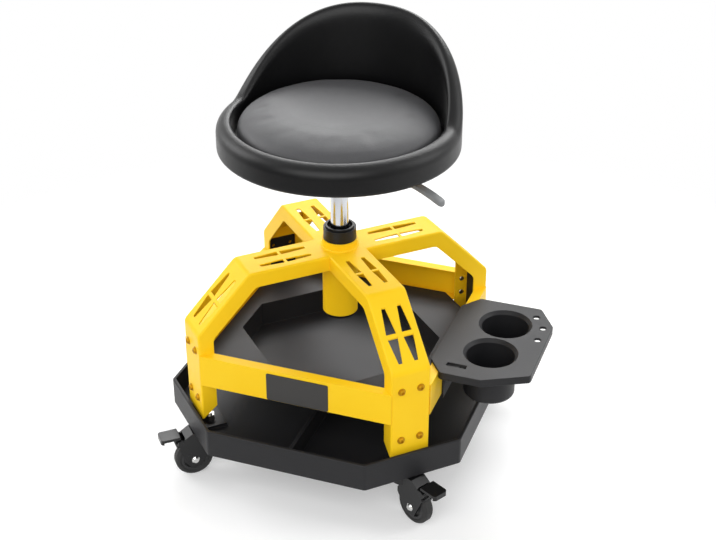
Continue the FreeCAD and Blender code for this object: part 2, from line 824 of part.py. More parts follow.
def seat_bolts():
    body = new_body("seat_bolts")
    body.AllowCompound = True
    spots = [(f"{x}seat_bolt_wide", f"{y}seat_bolt_deep") for x in ("", "-") for y in ("", "-")]
    heads = [(across, up, "seat_bolt_head") for across, up in spots]
    shanks = [(across, up, "seat_bolt_radius") for across, up in spots]
    pad(body, outline_sketch(body, "XY_Plane", circles=heads,
                             offset=("0", "0", f"{PLATE_LOW} - seat_bolt_head_thick")),
        "seat_bolt_head_thick")
    pad(body, outline_sketch(body, "XY_Plane", circles=shanks, offset=("0", "0", PLATE_LOW)),
        "plate_thick + seat_bolt_into")
    place(body)


def lever_housing():
    body = new_body("lever_housing")
    box = rectangle("-housing_back", "-housing_half", "housing_front", "housing_half")
    pad(body, outline_sketch(body, "XY_Plane", [box], offset=("0", "0", HOUSING_LOW)), "housing_tall")
    inside = rectangle("housing_wall - housing_back", "housing_wall - housing_half",
                       "housing_front - housing_wall", "housing_half - housing_wall")
    pocket(body, outline_sketch(body, "XY_Plane", [inside],
                                offset=("0", "0", f"{HOUSING_LOW} + housing_wall")), reverse=True)
    socket = [("0", "0", "socket_radius")]
    pad(body, outline_sketch(body, "XY_Plane", circles=socket, offset=("0", "0", SOCKET_LOW)),
        "socket_drop + socket_rise")
    bore = [("0", SOCKET_LOW), ("cylinder_radius", SOCKET_LOW),
            ("cylinder_tip_radius", SOCKET_HIGH), ("0", SOCKET_HIGH)]
    before = body.Shape.Volume
    groove = body.newObject("PartDesign::Groove", "lever_housing_bore")
    groove.Profile = outline_sketch(body, "XZ_Plane", [bore])
    groove.ReferenceAxis = (groove.Profile[0], ["V_Axis"])
    groove.Angle = 360
    doc.recompute()
    if not body.Shape.Volume < before:
        raise ValueError("the socket's bore cuts nothing")
    slot = rectangle("-lever_slot_half", f"{PLATE_LOW} - lever_slot_tall", "lever_slot_half",
                     f"{PLATE_LOW} + overrun")
    pocket(body, outline_sketch(body, "YZ_Plane", [slot], offset=("0", "0", "housing_front / 2")),
           reverse=True)
    pivot = [("lever_pivot_out", f"{LEVER_LOW} + lever_tall / 3", "lever_pivot_radius + run_gap")]
    pocket(body, outline_sketch(body, "XZ_Plane", circles=pivot), midplane=True)
    place(body, "-lever_angle")


def lever_rod():
    body = new_body("lever_rod")
    low = LEVER_LOW
    outline = [("-lever_tail", low), ("lever_pivot_out", low), ("lever_out", f"{low} - lever_fall"),
               ("lever_out", f"{low} - lever_fall + lever_tall"),
               ("lever_pivot_out", f"{low} + lever_tall"), ("-lever_tail", f"{low} + lever_tall")]
    pad(body, outline_sketch(body, "XZ_Plane", [outline]), "2 * lever_half", midplane=True)
    pivot = [("lever_pivot_out", f"{low} + lever_tall / 3", "lever_pivot_radius")]
    pad(body, outline_sketch(body, "XZ_Plane", circles=pivot), "2 * housing_half", midplane=True)
    place(body, "-lever_angle")


def lever_paddle():
    body = new_body("lever_paddle")
    root = f"{LEVER_LOW} - lever_fall"
    tip = f"{root} - paddle_fall"
    middle = "(lever_out + paddle_reach) / 2"
    outline = [
        ("lever_out", root), ("lever_out + lever_tail", root), ("paddle_reach", tip),
        ("paddle_reach", f"{tip} + paddle_tip"), (middle, f"{root} + lever_tall - paddle_fall / 3"),
        ("lever_out", f"{root} + lever_tall"),
    ]
    pad(body, outline_sketch(body, "XZ_Plane", [outline]), "2 * paddle_half", midplane=True)
    far = value("paddle_reach")
    round_edges(body, lambda edge: upright(edge) and edge.Vertexes[0].X > far - value("run_gap"),
                "paddle_half - paddle_round")
    place(body, "-lever_angle")


def ring_section(turn, rise, share):
    """The padded ring's cut at an angle from the back, its top raised by rise."""
    edge_round = value("seat_edge_round") * (1 - share) + value("back_edge_round") * share
    inner_round = value("seat_inner_round") * (1 - share) + value("back_inner_round") * share
    foot = value("seat_foot_round")
    outer = value("seat_radius")
    inner = value(RING_INNER)
    low = value("seat_low - seat_skirt")
    high = value(SEAT_TOP) + rise

    def spot(radius, tall):
        return FreeCAD.Vector(-radius * math.sin(turn), radius * math.cos(turn), tall)

    def arc(middle_radius, middle_tall, radius, start, end):
        steps = (start, (start + end) / 2, end)
        marks = [spot(middle_radius + radius * math.cos(angle), middle_tall + radius * math.sin(angle))
                 for angle in steps]
        return Part.Arc(*marks).toShape()

    quarter = math.pi / 2
    arcs = [
        arc(outer - foot, low + foot, foot, -quarter, 0),
        arc(outer - edge_round, high - edge_round, edge_round, 0, quarter),
        arc(inner + inner_round, high - inner_round, inner_round, quarter, 2 * quarter),
    ]
    start = spot(inner, low)
    edges = []
    last = start
    for curve in arcs:
        edges.append(Part.LineSegment(last, curve.valueAt(curve.FirstParameter)).toShape())
        edges.append(curve)
        last = curve.valueAt(curve.LastParameter)
    edges.append(Part.LineSegment(last, start).toShape())
    return Part.Wire(edges)


def rise_share(turn):
    """How much of the back's height stands at an angle from its middle: round at the top,
    running out softly into the rim at each side."""
    away = min(1, abs(turn) / math.radians(value("back_spread_angle")))
    dome_share = math.cos(math.pi / 2 * away ** value("back_dome_share"))
    foot_share = value("back_foot_share")
    return dome_share ** 2 / (dome_share + foot_share) * (1 + foot_share)


def seat_surround():
    spread = math.radians(value("back_spread_angle"))
    steps = 16
    sections = []
    for step in range(steps + 1):
        turn = spread * (2 * step / steps - 1)
        share = rise_share(turn) if 0 < step < steps else 0
        sections.append(ring_section(turn, value("back_rise") * share, share))
    back = Part.makeLoft(sections, True, False)
    front = Part.Face(ring_section(spread, 0, 0)).revolve(
        FreeCAD.Vector(), FreeCAD.Vector(0, 0, 1), 360 - 2 * math.degrees(spread))
    surround = doc.addObject("Part::Feature", "seat_surround")
    surround.Shape = front.fuse(back)
    place(surround)


def seat_cushion():
    low = value("seat_low + board_thick")
    side = value(f"{RING_INNER} - cushion_gap")
    pinch = value("cushion_pinch")
    belly = low + value("cushion_side") / 2
    shoulder_tall = low + value("cushion_side")
    crown = value(SEAT_TOP) + value("cushion_crown")
    rim = side - value("cushion_shoulder")
    rim_tall = (shoulder_tall * 2 + crown) / 3

    def spot(across, tall):
        return FreeCAD.Vector(across, 0, tall)

    flank = Part.Arc(spot(side - pinch, low), spot(side, belly), spot(side - pinch, shoulder_tall))
    bow = (rim + side) / 2 + pinch
    shoulder = Part.Arc(spot(side - pinch, shoulder_tall), spot(bow, (shoulder_tall + rim_tall) / 2 + pinch),
                        spot(rim, rim_tall + pinch))
    fall = crown - rim_tall - pinch
    dome_radius = (rim ** 2 + fall ** 2) / (2 * fall)
    half_turn = math.asin(rim / dome_radius) / 2
    dome = Part.Arc(spot(rim, rim_tall + pinch),
                    spot(dome_radius * math.sin(half_turn), crown - dome_radius * (1 - math.cos(half_turn))),
                    spot(0, crown))
    edges = [Part.LineSegment(spot(0, low), spot(side - pinch, low)).toShape(), flank.toShape(),
             shoulder.toShape(), dome.toShape(), Part.LineSegment(spot(0, crown), spot(0, low)).toShape()]
    cushion = doc.addObject("Part::Feature", "seat_cushion")
    cushion.Shape = Part.Face(Part.Wire(edges)).revolve(FreeCAD.Vector(), FreeCAD.Vector(0, 0, 1), 360)
    place(cushion)


# The side tray: a plate with two cups, small tool holes and a slot, hooked over the right rail.

def side_outline(inset, inner):
    """The plate's outline; its inner edge lies along the rail."""
    front = f"(side_front - {inset})"
    back = f"(side_back - {inset})"
    reach = f"(side_reach - {inset})"
    return [
        (inner, f"side_inner_cut_long - {front}"),
        (f"{inner} + side_inner_cut", f"-{front}"),
        (f"{reach} - side_front_cut", f"-{front}"),
        (reach, f"side_front_cut_long - {front}"),
        (reach, f"{back} - side_back_cut_long"),
        (f"{reach} - side_back_cut", back),
        (f"{inner} + side_inner_cut", back),
        (inner, f"{back} - side_inner_cut_long"),
    ]


def side_tray():
    body = new_body("side_tray")
    low = f"{RAIL_TOP} + side_thick - side_wall - side_skirt"
    pad(body, outline_sketch(body, "XY_Plane", [side_outline("0", SIDE_INNER)], offset=("0", "0", low)),
        "side_wall + side_skirt")
    round_edges(body, lambda edge: upright(edge) and edge.Vertexes[0].X > value("rail_face"), "side_round")
    under = f"{RAIL_TOP} - ({low})"
    groove = rectangle(f"{SIDE_INNER} + side_wall", "-side_front - overrun", "rail_face",
                       "side_back + overrun")
    apron_out = "rail_face + side_wall"
    hollow = side_outline("side_wall", apron_out)
    pocket(body, outline_sketch(body, "XY_Plane", [groove, hollow], offset=("0", "0", low)),
           under, reverse=True)
    apron = rectangle("rail_face", "-apron_front", apron_out, "apron_back")
    pad(body, outline_sketch(body, "XY_Plane", [apron], offset=("0", "0", "apron_low")),
        f"{RAIL_TOP} - apron_low")
    cups = [("cup_middle", f"{sign}cup_spacing / 2") for sign in ("", "-")]
    wells = [(across, up, "cup_radius + cup_wall") for across, up in cups]
    cup_low = f"{SIDE_TOP} - cup_depth - cup_wall"
    pad(body, outline_sketch(body, "XY_Plane", circles=wells, offset=("0", "0", cup_low)),
        f"{RAIL_TOP} - ({cup_low})")
    round_edges(body, lambda edge: all(near(vertex.Z, cup_low) for vertex in edge.Vertexes), "cup_round")
    bores = [(across, up, "cup_radius") for across, up in cups]
    pocket(body, outline_sketch(body, "XY_Plane", circles=bores,
                                offset=("0", "0", f"{SIDE_TOP} - cup_depth")), reverse=True)

    def is_mouth(edge):
        curve = edge.Curve
        return (hasattr(curve, "Radius") and near(curve.Radius, "cup_radius")
                and near(edge.Vertexes[0].Z, SIDE_TOP))

    bevel_edges(body, is_mouth, "cup_lead")
    holes = [("hole_line", "hole_near", "hole_radius"), ("hole_line", "hole_far", "hole_radius"),
             ("hole_line - hole_corner_in", "hole_corner_far", "hole_radius")]
    slot = rectangle("tool_slot_near", "-tool_slot_front", "tool_slot_far",
                     "tool_slot_wide - tool_slot_front")
    pocket(body, outline_sketch(body, "XY_Plane", [slot], holes, offset=("0", "0", low)), reverse=True)
    place(body)


# One caster: a stem with its flange, a hooded fork that swivels on it, axle, wheel, tyre and brake.

def caster_stem(letter, across, back):
    nut_top = f"{PAD_TOP} + bracket_thick + nut_thick"
    king_high = f"{KING_HIGH} - face_gap"
    body = turned(f"caster_{letter}_stem", [
        ("0", f"{king_high} - king_thick"), ("king_radius", f"{king_high} - king_thick"),
        ("king_radius", king_high), ("stem_radius", king_high), ("stem_radius", CAP_LOW),
        ("boss_radius", CAP_LOW), ("boss_radius", "base_low"), ("stem_radius", "base_low"),
        ("stem_radius", f"{nut_top} + stem_past"), ("0", f"{nut_top} + stem_past")])
    place(body, "0", across, back)


def caster_fork(letter, turn, across, back):
    body = new_body(f"caster_{letter}_fork")
    boss_low = f"{FORK_TOP} - boss_drop"
    pad(body, outline_sketch(body, "XY_Plane", circles=[("0", "0", "boss_radius")],
                             offset=("0", "0", boss_low)), "boss_drop")
    hood = [("caster_trail", "wheel_radius", HOOD_RADIUS)]
    pad(body, outline_sketch(body, "XZ_Plane", circles=hood), f"2 * ({FORK_HALF})", midplane=True)
    ears = [("pedal_pivot_out", "pedal_pivot_tall", "pedal_ear")]
    pad(body, outline_sketch(body, "XZ_Plane", circles=ears), f"2 * ({FORK_HALF})", midplane=True)
    shoulder = [("0", boss_low), ("0", "shoulder_tall"), ("shoulder_out", "shoulder_tall"),
                ("shoulder_corner_out", "shoulder_corner_tall"),
                ("pedal_pivot_out", "pedal_pivot_tall"), ("caster_trail", "wheel_radius")]
    pad(body, outline_sketch(body, "XZ_Plane", [shoulder]), f"2 * ({FORK_HALF})", midplane=True)
    inside = [("caster_trail", "wheel_radius", "wheel_radius + hood_gap")]
    pocket(body, outline_sketch(body, "XZ_Plane", circles=inside), f"2 * ({SLOT_HALF})", midplane=True)
    notch = [("pedal_pivot_out", "pedal_pivot_tall", "pedal_notch")]
    pocket(body, outline_sketch(body, "XZ_Plane", circles=notch), f"2 * ({SLOT_HALF})", midplane=True)
    far = f"({HOOD_RADIUS} + overrun)"
    below = [
        (f"caster_trail - {far}", "-overrun"), (f"caster_trail + {far}", "-overrun"),
        (f"caster_trail + {far}", "cheek_front_low"), ("cheek_front", "cheek_front_low"),
        ("caster_trail + cheek_foot_half", "cheek_foot"),
        ("caster_trail - cheek_foot_half", "cheek_foot"),
        ("cheek_back", "cheek_back_low"), ("cheek_back", boss_low),
        (f"caster_trail - {far}", boss_low),
    ]
    pocket(body, outline_sketch(body, "XZ_Plane", [below]), midplane=True)
    axle = [("caster_trail", "wheel_radius", "axle_radius"),
            ("pedal_pivot_out", "pedal_pivot_tall", "pedal_trunnion + run_gap")]
    pocket(body, outline_sketch(body, "XZ_Plane", circles=axle), midplane=True)
    pocket(body, outline_sketch(body, "XY_Plane", circles=[("0", "0", "stem_radius + run_gap")]),
           reverse=True)
    pocket(body, outline_sketch(body, "XY_Plane", circles=[("0", "0", "king_radius + slot_gap")]),
           KING_HIGH, reverse=True)
    place(body, turn, across, back)


def caster_axle(letter, turn, across, back):
    half = FORK_HALF
    head = f"{half} + axle_head_thick"
    body = turned(f"caster_{letter}_axle", [
        (f"-({head})", "0"), (f"-({head})", "axle_head_radius - axle_head_thick"),
        (f"-({half})", "axle_head_radius"), (f"-({half})", "axle_radius"),
        (half, "axle_radius"), (half, "axle_head_radius"),
        (head, "axle_head_radius - axle_head_thick"), (head, "0")],
        offset=("0", "wheel_radius", "caster_trail"), crosswise=True)
    place(body, turn, across, back)


def caster_core(letter, turn, across, back):
    bore = "axle_radius + run_gap"
    boss = f"{SLOT_HALF} - face_gap"
    rim = "wheel_radius - tyre_thick"
    inner_rim = f"{rim} - core_rim"
    half = [(boss, bore), (boss, "core_boss_radius"), ("core_web_half", "core_boss_radius"),
            ("core_web_half", inner_rim), ("core_rim_half", inner_rim), ("core_rim_half", rim)]
    mirrored = [(f"-({along})", radius) for along, radius in half[::-1]]
    body = turned(f"caster_{letter}_core", half + mirrored,
                  offset=("0", "wheel_radius", "caster_trail"), crosswise=True)
    place(body, turn, across, back)


def caster_tyre(letter, turn, across, back):
    seat = "wheel_radius - tyre_thick"
    half = [("core_rim_half", seat), ("tyre_half", f"{seat} + tyre_bevel"),
            ("tyre_half", "wheel_radius - tyre_shoulder"),
            ("tyre_half - tyre_bevel", "wheel_radius - tyre_bevel"),
            ("tyre_half - tyre_shoulder", "wheel_radius")]
    mirrored = [(f"-({along})", radius) for along, radius in half[::-1]]
    body = turned(f"caster_{letter}_tyre", half + mirrored,
                  offset=("0", "wheel_radius", "caster_trail"), crosswise=True)
    place(body, turn, across, back)


def caster_pedal(letter, turn, across, back):
    body = new_body(f"caster_{letter}_pedal")
    pivot = ("pedal_pivot_out", "pedal_pivot_tall")
    pad(body, outline_sketch(body, "XZ_Plane", circles=[(*pivot, "pedal_barrel")]),
        f"2 * ({SLOT_HALF} - face_gap)", midplane=True)
    pad(body, outline_sketch(body, "XZ_Plane", circles=[(*pivot, "pedal_trunnion")]),
        f"2 * ({FORK_HALF})", midplane=True)
    cam = [("pedal_pivot_out + cam_out * cos(cam_angle * 1 deg)",
            "pedal_pivot_tall + cam_out * sin(cam_angle * 1 deg)", "cam_radius")]
    pad(body, outline_sketch(body, "XZ_Plane", circles=cam), f"2 * ({SLOT_HALF} - face_gap)", midplane=True)
    under = "pedal_top - pedal_thick"
    neck = [("pedal_pivot_out - pedal_barrel", "pedal_pivot_tall"),
            ("pedal_pivot_out + pedal_barrel", "pedal_pivot_tall"),
            ("pedal_pivot_out + pedal_neck", under), ("pedal_pivot_out + pedal_neck", "pedal_top"),
            ("pedal_pivot_out + pedal_lap", "pedal_top")]
    pad(body, outline_sketch(body, "XZ_Plane", [neck]), "2 * pedal_neck_half", midplane=True)
    plate = [
        ("pedal_pivot_out + pedal_lap", under), ("pedal_reach - pedal_thick", under),
        ("pedal_reach - pedal_thick", f"{under} - pedal_hook"), ("pedal_reach", f"{under} - pedal_hook"),
        ("pedal_reach", "pedal_top"), ("pedal_pivot_out + pedal_lap", "pedal_top"),
    ]
    pad(body, outline_sketch(body, "XZ_Plane", [plate]), "2 * pedal_half", midplane=True)
    far = value("pedal_reach")
    round_edges(body, lambda edge: upright(edge) and edge.Vertexes[0].X > far - value("run_gap"),
                "pedal_round")
    place(body, turn, across, back)


def caster_nuts():
    body = new_body("caster_nuts")
    body.AllowCompound = True
    corners = []
    for number in range(6):
        angle = f"{60 * number} deg"
        corners.append((f"caster_side + nut_flat_half / cos(30 deg) * cos({angle})",
                        f"caster_side + nut_flat_half / cos(30 deg) * sin({angle})"))
    sketch = outline_sketch(body, "XY_Plane", [corners], [("caster_side", "caster_side", "stem_radius")],
                            offset=("0", "0", f"{PAD_TOP} + bracket_thick"))
    pattern_round(body, [pad(body, sketch, "nut_thick")])
    place(body)


base_tray()
tool_tray()
corner_turns = {"a": 225, "b": 315, "c": 135, "d": 45}
for letter, degrees in corner_turns.items():
    arm(letter, str(degrees))
    foot_bracket(letter, str(degrees))
hub_plate()
for name, degrees in {"rail_front": 0, "rail_right": 90, "rail_back": 180, "rail_left": 270}.items():
    rail(name, str(degrees))
rail_rivets()
label_plate()
foot_bolts()
hub_sleeve()
column_tube()
guide_bush()
thrust_bearing()
piston_rod()
retaining_clip()
gas_cylinder()
release_pin()
seat_board()
seat_plate()
seat_bolts()
lever_housing()
lever_rod()
lever_paddle()
seat_surround()
seat_cushion()
side_tray()
caster_nuts()
corner_signs = {"a": ("-", "-"), "b": ("", "-"), "c": ("-", ""), "d": ("", "")}
for letter, (sign_x, sign_y) in corner_signs.items():
    spot = (f"{sign_x}caster_side", f"{sign_y}caster_side")
    caster_stem(letter, *spot)
    caster_fork(letter, f"turn_{letter}", *spot)
    caster_axle(letter, f"turn_{letter}", *spot)
    caster_core(letter, f"turn_{letter}", *spot)
    caster_tyre(letter, f"turn_{letter}", *spot)
    caster_pedal(letter, f"turn_{letter}", *spot)

doc.recompute()
for item in doc.Objects:
    if "Invalid" in item.State or "Error" in item.State:
        raise ValueError(f"{item.Name} did not compute: {item.State}")
os.makedirs("parts", exist_ok=True)
for piece in parts:
    shape = piece.Shape
    if shape.isNull() or not shape.isValid() or not shape.Solids:
        raise ValueError(f"{piece.Label} has no valid solid")
    shape.exportStep(f"parts/{piece.Label}.step")
    print(f"{piece.Label:22s} solids {len(shape.Solids):2d}  volume {shape.Volume / 1000:9.2f} cm3")
print("pieces", len(parts))
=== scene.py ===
import json
import math

import bmesh
import bpy
from mathutils import Matrix, Vector


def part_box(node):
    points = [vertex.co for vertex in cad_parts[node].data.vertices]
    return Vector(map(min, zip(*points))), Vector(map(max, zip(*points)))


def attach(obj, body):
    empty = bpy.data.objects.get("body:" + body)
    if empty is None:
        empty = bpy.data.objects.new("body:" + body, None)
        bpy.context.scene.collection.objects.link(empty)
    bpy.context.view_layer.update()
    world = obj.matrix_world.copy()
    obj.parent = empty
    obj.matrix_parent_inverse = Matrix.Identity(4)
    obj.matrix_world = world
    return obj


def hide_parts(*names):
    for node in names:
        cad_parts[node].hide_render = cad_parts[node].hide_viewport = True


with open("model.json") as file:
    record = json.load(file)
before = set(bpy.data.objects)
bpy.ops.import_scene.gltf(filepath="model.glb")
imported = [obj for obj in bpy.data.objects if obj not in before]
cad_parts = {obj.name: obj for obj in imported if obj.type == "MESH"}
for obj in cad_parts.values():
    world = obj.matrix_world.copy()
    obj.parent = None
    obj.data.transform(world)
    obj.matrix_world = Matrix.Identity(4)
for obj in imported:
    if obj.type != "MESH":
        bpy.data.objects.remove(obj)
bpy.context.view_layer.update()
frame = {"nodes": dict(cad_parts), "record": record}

scene = bpy.context.scene
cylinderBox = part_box("gas_cylinder")
columnX = (cylinderBox[0][0] + cylinderBox[1][0]) / 2   # the gas column's axis
columnY = (cylinderBox[0][1] + cylinderBox[1][1]) / 2

nearby = 1e-5    # metres: places closer than this count as one
almost = 0.9     # share of a length that counts as all of it
square = 0.999   # a face is square to an axis when its normal reaches this along it


# Modelling helpers: each works on one piece that is alone in the selection.

def clearSelection():
    if bpy.context.object and bpy.context.object.mode != "OBJECT":
        bpy.ops.object.mode_set(mode="OBJECT")
    bpy.ops.object.select_all(action="DESELECT")


def makeActive(piece):
    clearSelection()
    piece.select_set(True)
    bpy.context.view_layer.objects.active = piece


def nameBoth(piece, name):
    piece.name = name
    piece.data.name = name


def startPiece(name, addPrimitive, stretch=(1, 1, 1), **settings):
    clearSelection()
    addPrimitive(**settings)
    piece = bpy.context.object
    piece.scale = stretch
    nameBoth(piece, name)
    makeActive(piece)
    bpy.ops.object.transform_apply(location=True, rotation=True, scale=True)
    return piece


def openEdit(piece, kind="FACE"):
    makeActive(piece)
    bpy.ops.object.mode_set(mode="EDIT")
    bpy.ops.mesh.select_mode(type=kind)
    bpy.ops.mesh.select_all(action="DESELECT")


def closeEdit():
    bpy.ops.object.mode_set(mode="OBJECT")


def pickParts(piece, kind, listParts, passes):
    bpy.ops.mesh.select_mode(type=kind)
    bpy.ops.mesh.select_all(action="DESELECT")
    shell = bmesh.from_edit_mesh(piece.data)
    for part in listParts(shell):
        part.select_set(bool(passes(part)))
    shell.select_flush_mode()
    bmesh.update_edit_mesh(piece.data)


def pickFaces(piece, test):
    # test gets a face's middle and normal
    pickParts(piece, "FACE", lambda shell: shell.faces,
              lambda face: test(face.calc_center_median(), face.normal))


def pickEdges(piece, test):
    # test gets the places of an edge's two ends
    pickParts(piece, "EDGE", lambda shell: shell.edges,
              lambda edge: test(edge.verts[0].co, edge.verts[1].co))


def pickPoints(piece, test):
    # test gets a point's place
    pickParts(piece, "VERT", lambda shell: shell.verts, lambda point: test(point.co))


def pickRim(piece, height):
    # the ring of edges that lies level at this height
    pickEdges(piece, lambda a, b: abs(a.z - height) < nearby and abs(b.z - height) < nearby)


def movePoints(piece, rule):
    # rule turns a point's place into its new one
    for point in piece.data.vertices:
        point.co = rule(point.co.copy())
    piece.data.update()


def applyModifier(piece, kind, **settings):
    makeActive(piece)
    modifier = piece.modifiers.new(kind.title(), kind)
    for name, value in settings.items():
        setattr(modifier, name, value)
    bpy.ops.object.modifier_apply(modifier=modifier.name)


def smoothShade(piece, degrees=None):
    makeActive(piece)
    if degrees is None:
        bpy.ops.object.shade_smooth()
    else:
        bpy.ops.object.shade_smooth_by_angle(angle=math.radians(degrees))


def copyTurned(piece, name, matrix):
    copy = piece.copy()
    copy.data = piece.data.copy()
    nameBoth(copy, name)
    bpy.context.collection.objects.link(copy)
    copy.data.transform(matrix)
    return copy


def joinPieces(pieces, name):
    makeActive(pieces[0])
    for piece in pieces:
        piece.select_set(True)
    bpy.ops.object.join()
    joined = bpy.context.object
    nameBoth(joined, name)
    return joined


def mendShell(piece):
    # points in one place become one, and every face looks outwards
    openEdit(piece, "VERT")
    bpy.ops.mesh.select_all(action="SELECT")
    bpy.ops.mesh.remove_doubles(threshold=nearby)
    bpy.ops.mesh.normals_make_consistent(inside=False)
    closeEdit()


def fromColumn(place):
    # the way from the column's axis to a place, seen from above
    return Vector((place.x - columnX, place.y - columnY))


def aroundColumn(flat, height):
    return Vector((columnX + flat.x, columnY + flat.y, height))


def atLeg(quarter):
    # a leg's own frame: its x runs outwards from the column's axis along the diagonal
    turn = math.radians(45 + 90 * quarter)
    return Matrix.Translation((columnX, columnY, 0)) @ Matrix.Rotation(turn, 4, "Z")


# Camera: above and to the right of the front rail, as the photograph was taken.

cameraView = {
    "place": (0.6219, -1.7600, 1.3659), "turn": (60.542, 0.0, 19.90), "lens": 70.73, "sensor": 36,
}

cameraData = bpy.data.cameras.new("camera")
cameraData.lens = cameraView["lens"]
cameraData.sensor_width = cameraView["sensor"]
camera = bpy.data.objects.new("camera", cameraData)
camera.location = cameraView["place"]
camera.rotation_euler = [math.radians(angle) for angle in cameraView["turn"]]
scene.collection.objects.link(camera)
scene.camera = camera
print("camera set")


# Materials. Names that end in Mm hold a pattern's real size; depths and rounds are in metres.

def linear(hexText):
    # the light values that a shader takes, from a colour as it is seen
    channels = [int(hexText[first:first + 2], 16) / 255 for first in (1, 3, 5)]
    return [value / 12.92 if value <= 0.04045 else ((value + 0.055) / 1.055) ** 2.4
            for value in channels] + [1.0]


def addNode(tree, kind, settings=None, values=None, links=None):
    node = tree.nodes.new(kind)
    for name, setting in (settings or {}).items():
        setattr(node, name, setting)
    for name, value in (values or {}).items():
        node.inputs[name].default_value = value
    for name, source in (links or {}).items():
        tree.links.new(source, node.inputs[name])
    return node


def startMaterial(name, values):
    material = bpy.data.materials.new(name)
    material.use_nodes = True
    tree = material.node_tree
    shader = tree.nodes["Principled BSDF"]
    for socket, value in values.items():
        shader.inputs[socket].default_value = value
    place = addNode(tree, "ShaderNodeTexCoord").outputs["Object"]
    return material, tree, shader, place


def perMetre(millimetres):
    # a noise texture's scale for a pattern of this size
    return 1000 / millimetres


bevelSamples = 8


def edgeMask(tree, radius, sharpness):
    # bright where a face turns over an edge, on any mesh, however it is divided
    rounded = addNode(tree, "ShaderNodeBevel", {"samples": bevelSamples}, {"Radius": radius})
    flat = addNode(tree, "ShaderNodeNewGeometry")
    likeness = addNode(tree, "ShaderNodeVectorMath", {"operation": "DOT_PRODUCT"}, links={
        0: rounded.outputs["Normal"], 1: flat.outputs["True Normal"]})
    mask = addNode(tree, "ShaderNodeMapRange", values={
        "From Min": 1.0, "From Max": 1.0 - sharpness}, links={"Value": likeness.outputs["Value"]})
    return mask.outputs["Result"]


def driftGloss(tree, shader, look, cloud):
    # the gloss is never even: it drifts with the same cloud as the colour
    rough = addNode(tree, "ShaderNodeMapRange", values={
        "To Min": look["roughness"] - look["glossier"],
        "To Max": look["roughness"] + look["duller"]}, links={"Value": cloud.outputs["Fac"]})
    tree.links.new(rough.outputs["Result"], shader.inputs["Roughness"])


def toneAndEdgeHighlight(tree, shader, place, look):
    # two tones in a soft cloud, and lighter along the edges: a painted highlight, with a little
    # wear
    cloud = addNode(tree, "ShaderNodeTexNoise", values={
        "Scale": perMetre(look["cloudMm"]), "Detail": look["cloudDetail"],
        "Roughness": look["cloudFine"]}, links={"Vector": place})
    tone = addNode(tree, "ShaderNodeMix", {"data_type": "RGBA"}, {
        "A": linear(look["colour"]), "B": linear(look["drift"])}, {"Factor": cloud.outputs["Fac"]})
    edgeHighlight = addNode(tree, "ShaderNodeMath", {"operation": "MULTIPLY"}, {1: look["edgeHighlight"]}, {
        0: edgeMask(tree, look["edgeRound"], look["edgeSharp"])})
    edgeLit = addNode(tree, "ShaderNodeMix", {"data_type": "RGBA"}, {"B": linear(look["edge"])}, {
        "Factor": edgeHighlight.outputs[0], "A": tone.outputs["Result"]})
    tree.links.new(edgeLit.outputs["Result"], shader.inputs["Base Color"])
    driftGloss(tree, shader, look, cloud)


# edge: the lighter colour painted along the edges as a highlight
powderCoats = {
    "yellow": {"colour": "#FFD422", "drift": "#FECC16", "edge": "#FFDF52", "specular": 0.16,
               "coat": 0.02, "peelMm": 2.2},
    "black": {"colour": "#161617", "drift": "#1C1C1E", "edge": "#343437", "specular": 0.3,
              "coat": 0.05, "peelMm": 1.6},
}

powderBase = {
    "roughness": 0.42, "glossier": 0.04, "duller": 0.06, "coatRoughness": 0.2,
    "cloudMm": 90, "cloudDetail": 3.0, "cloudFine": 0.55,
    "edgeRound": 0.0008, "edgeSharp": 0.35, "edgeHighlight": 0.45, "peelStrength": 0.35, "peelDepth": 0.0003,
}


def powderCoat(name, look):
    # sprayed powder, baked on steel: even colour, a soft gloss over a fine orange peel
    look = {**powderBase, **look}
    material, tree, shader, place = startMaterial(name, {
        "IOR": 1.5, "Specular IOR Level": look["specular"], "Coat Weight": look["coat"],
        "Coat Roughness": look["coatRoughness"], "Coat IOR": 1.5})
    toneAndEdgeHighlight(tree, shader, place, look)
    peel = addNode(tree, "ShaderNodeTexNoise", values={
        "Scale": perMetre(look["peelMm"]), "Detail": 1.0}, links={"Vector": place})
    rounded = addNode(tree, "ShaderNodeBevel", {"samples": bevelSamples}, {
        "Radius": look["edgeRound"]})
    bump = addNode(tree, "ShaderNodeBump", values={
        "Strength": look["peelStrength"], "Distance": look["peelDepth"]}, links={
        "Height": peel.outputs["Fac"], "Normal": rounded.outputs["Normal"]})
    tree.links.new(bump.outputs["Normal"], shader.inputs["Normal"])
    tree.links.new(bump.outputs["Normal"], shader.inputs["Coat Normal"])
    return material


# edge: the lighter colour painted along the edges as a highlight
mouldings = {
    "tray": {"colour": "#1D1D1F", "drift": "#252527", "edge": "#434345", "roughness": 0.46,
             "specular": 0.24, "grainMm": 0.9, "depth": 0.00012, "strength": 0.5,
             "edgeRound": 0.0012},
    "lever": {"colour": "#787A7B", "drift": "#828485", "edge": "#939596", "roughness": 0.42,
              "specular": 0.4, "grainMm": 0.7, "depth": 0.00008, "strength": 0.35,
              "edgeRound": 0.001},
    "caster": {"colour": "#111112", "drift": "#171718", "edge": "#2E2E2F", "roughness": 0.28,
               "specular": 0.35, "grainMm": 1.4, "depth": 0.00006, "strength": 0.25,
               "edgeRound": 0.0007},
    "bush": {"colour": "#131314", "drift": "#1A1A1B", "edge": "#2A2A2B", "roughness": 0.36,
             "specular": 0.35, "grainMm": 1.0, "depth": 0.00005, "strength": 0.2,
             "edgeRound": 0.001},
    "core": {"colour": "#232324", "drift": "#2B2B2C", "edge": "#454546", "roughness": 0.34,
             "specular": 0.4, "grainMm": 1.0, "depth": 0.00005, "strength": 0.2,
             "edgeRound": 0.0006},
}

mouldingBase = {
    "glossier": 0.05, "duller": 0.07, "cloudMm": 60, "cloudDetail": 4.0, "cloudFine": 0.6,
    "edgeSharp": 0.4, "edgeHighlight": 0.55, "grainSoft": 0.6,
}


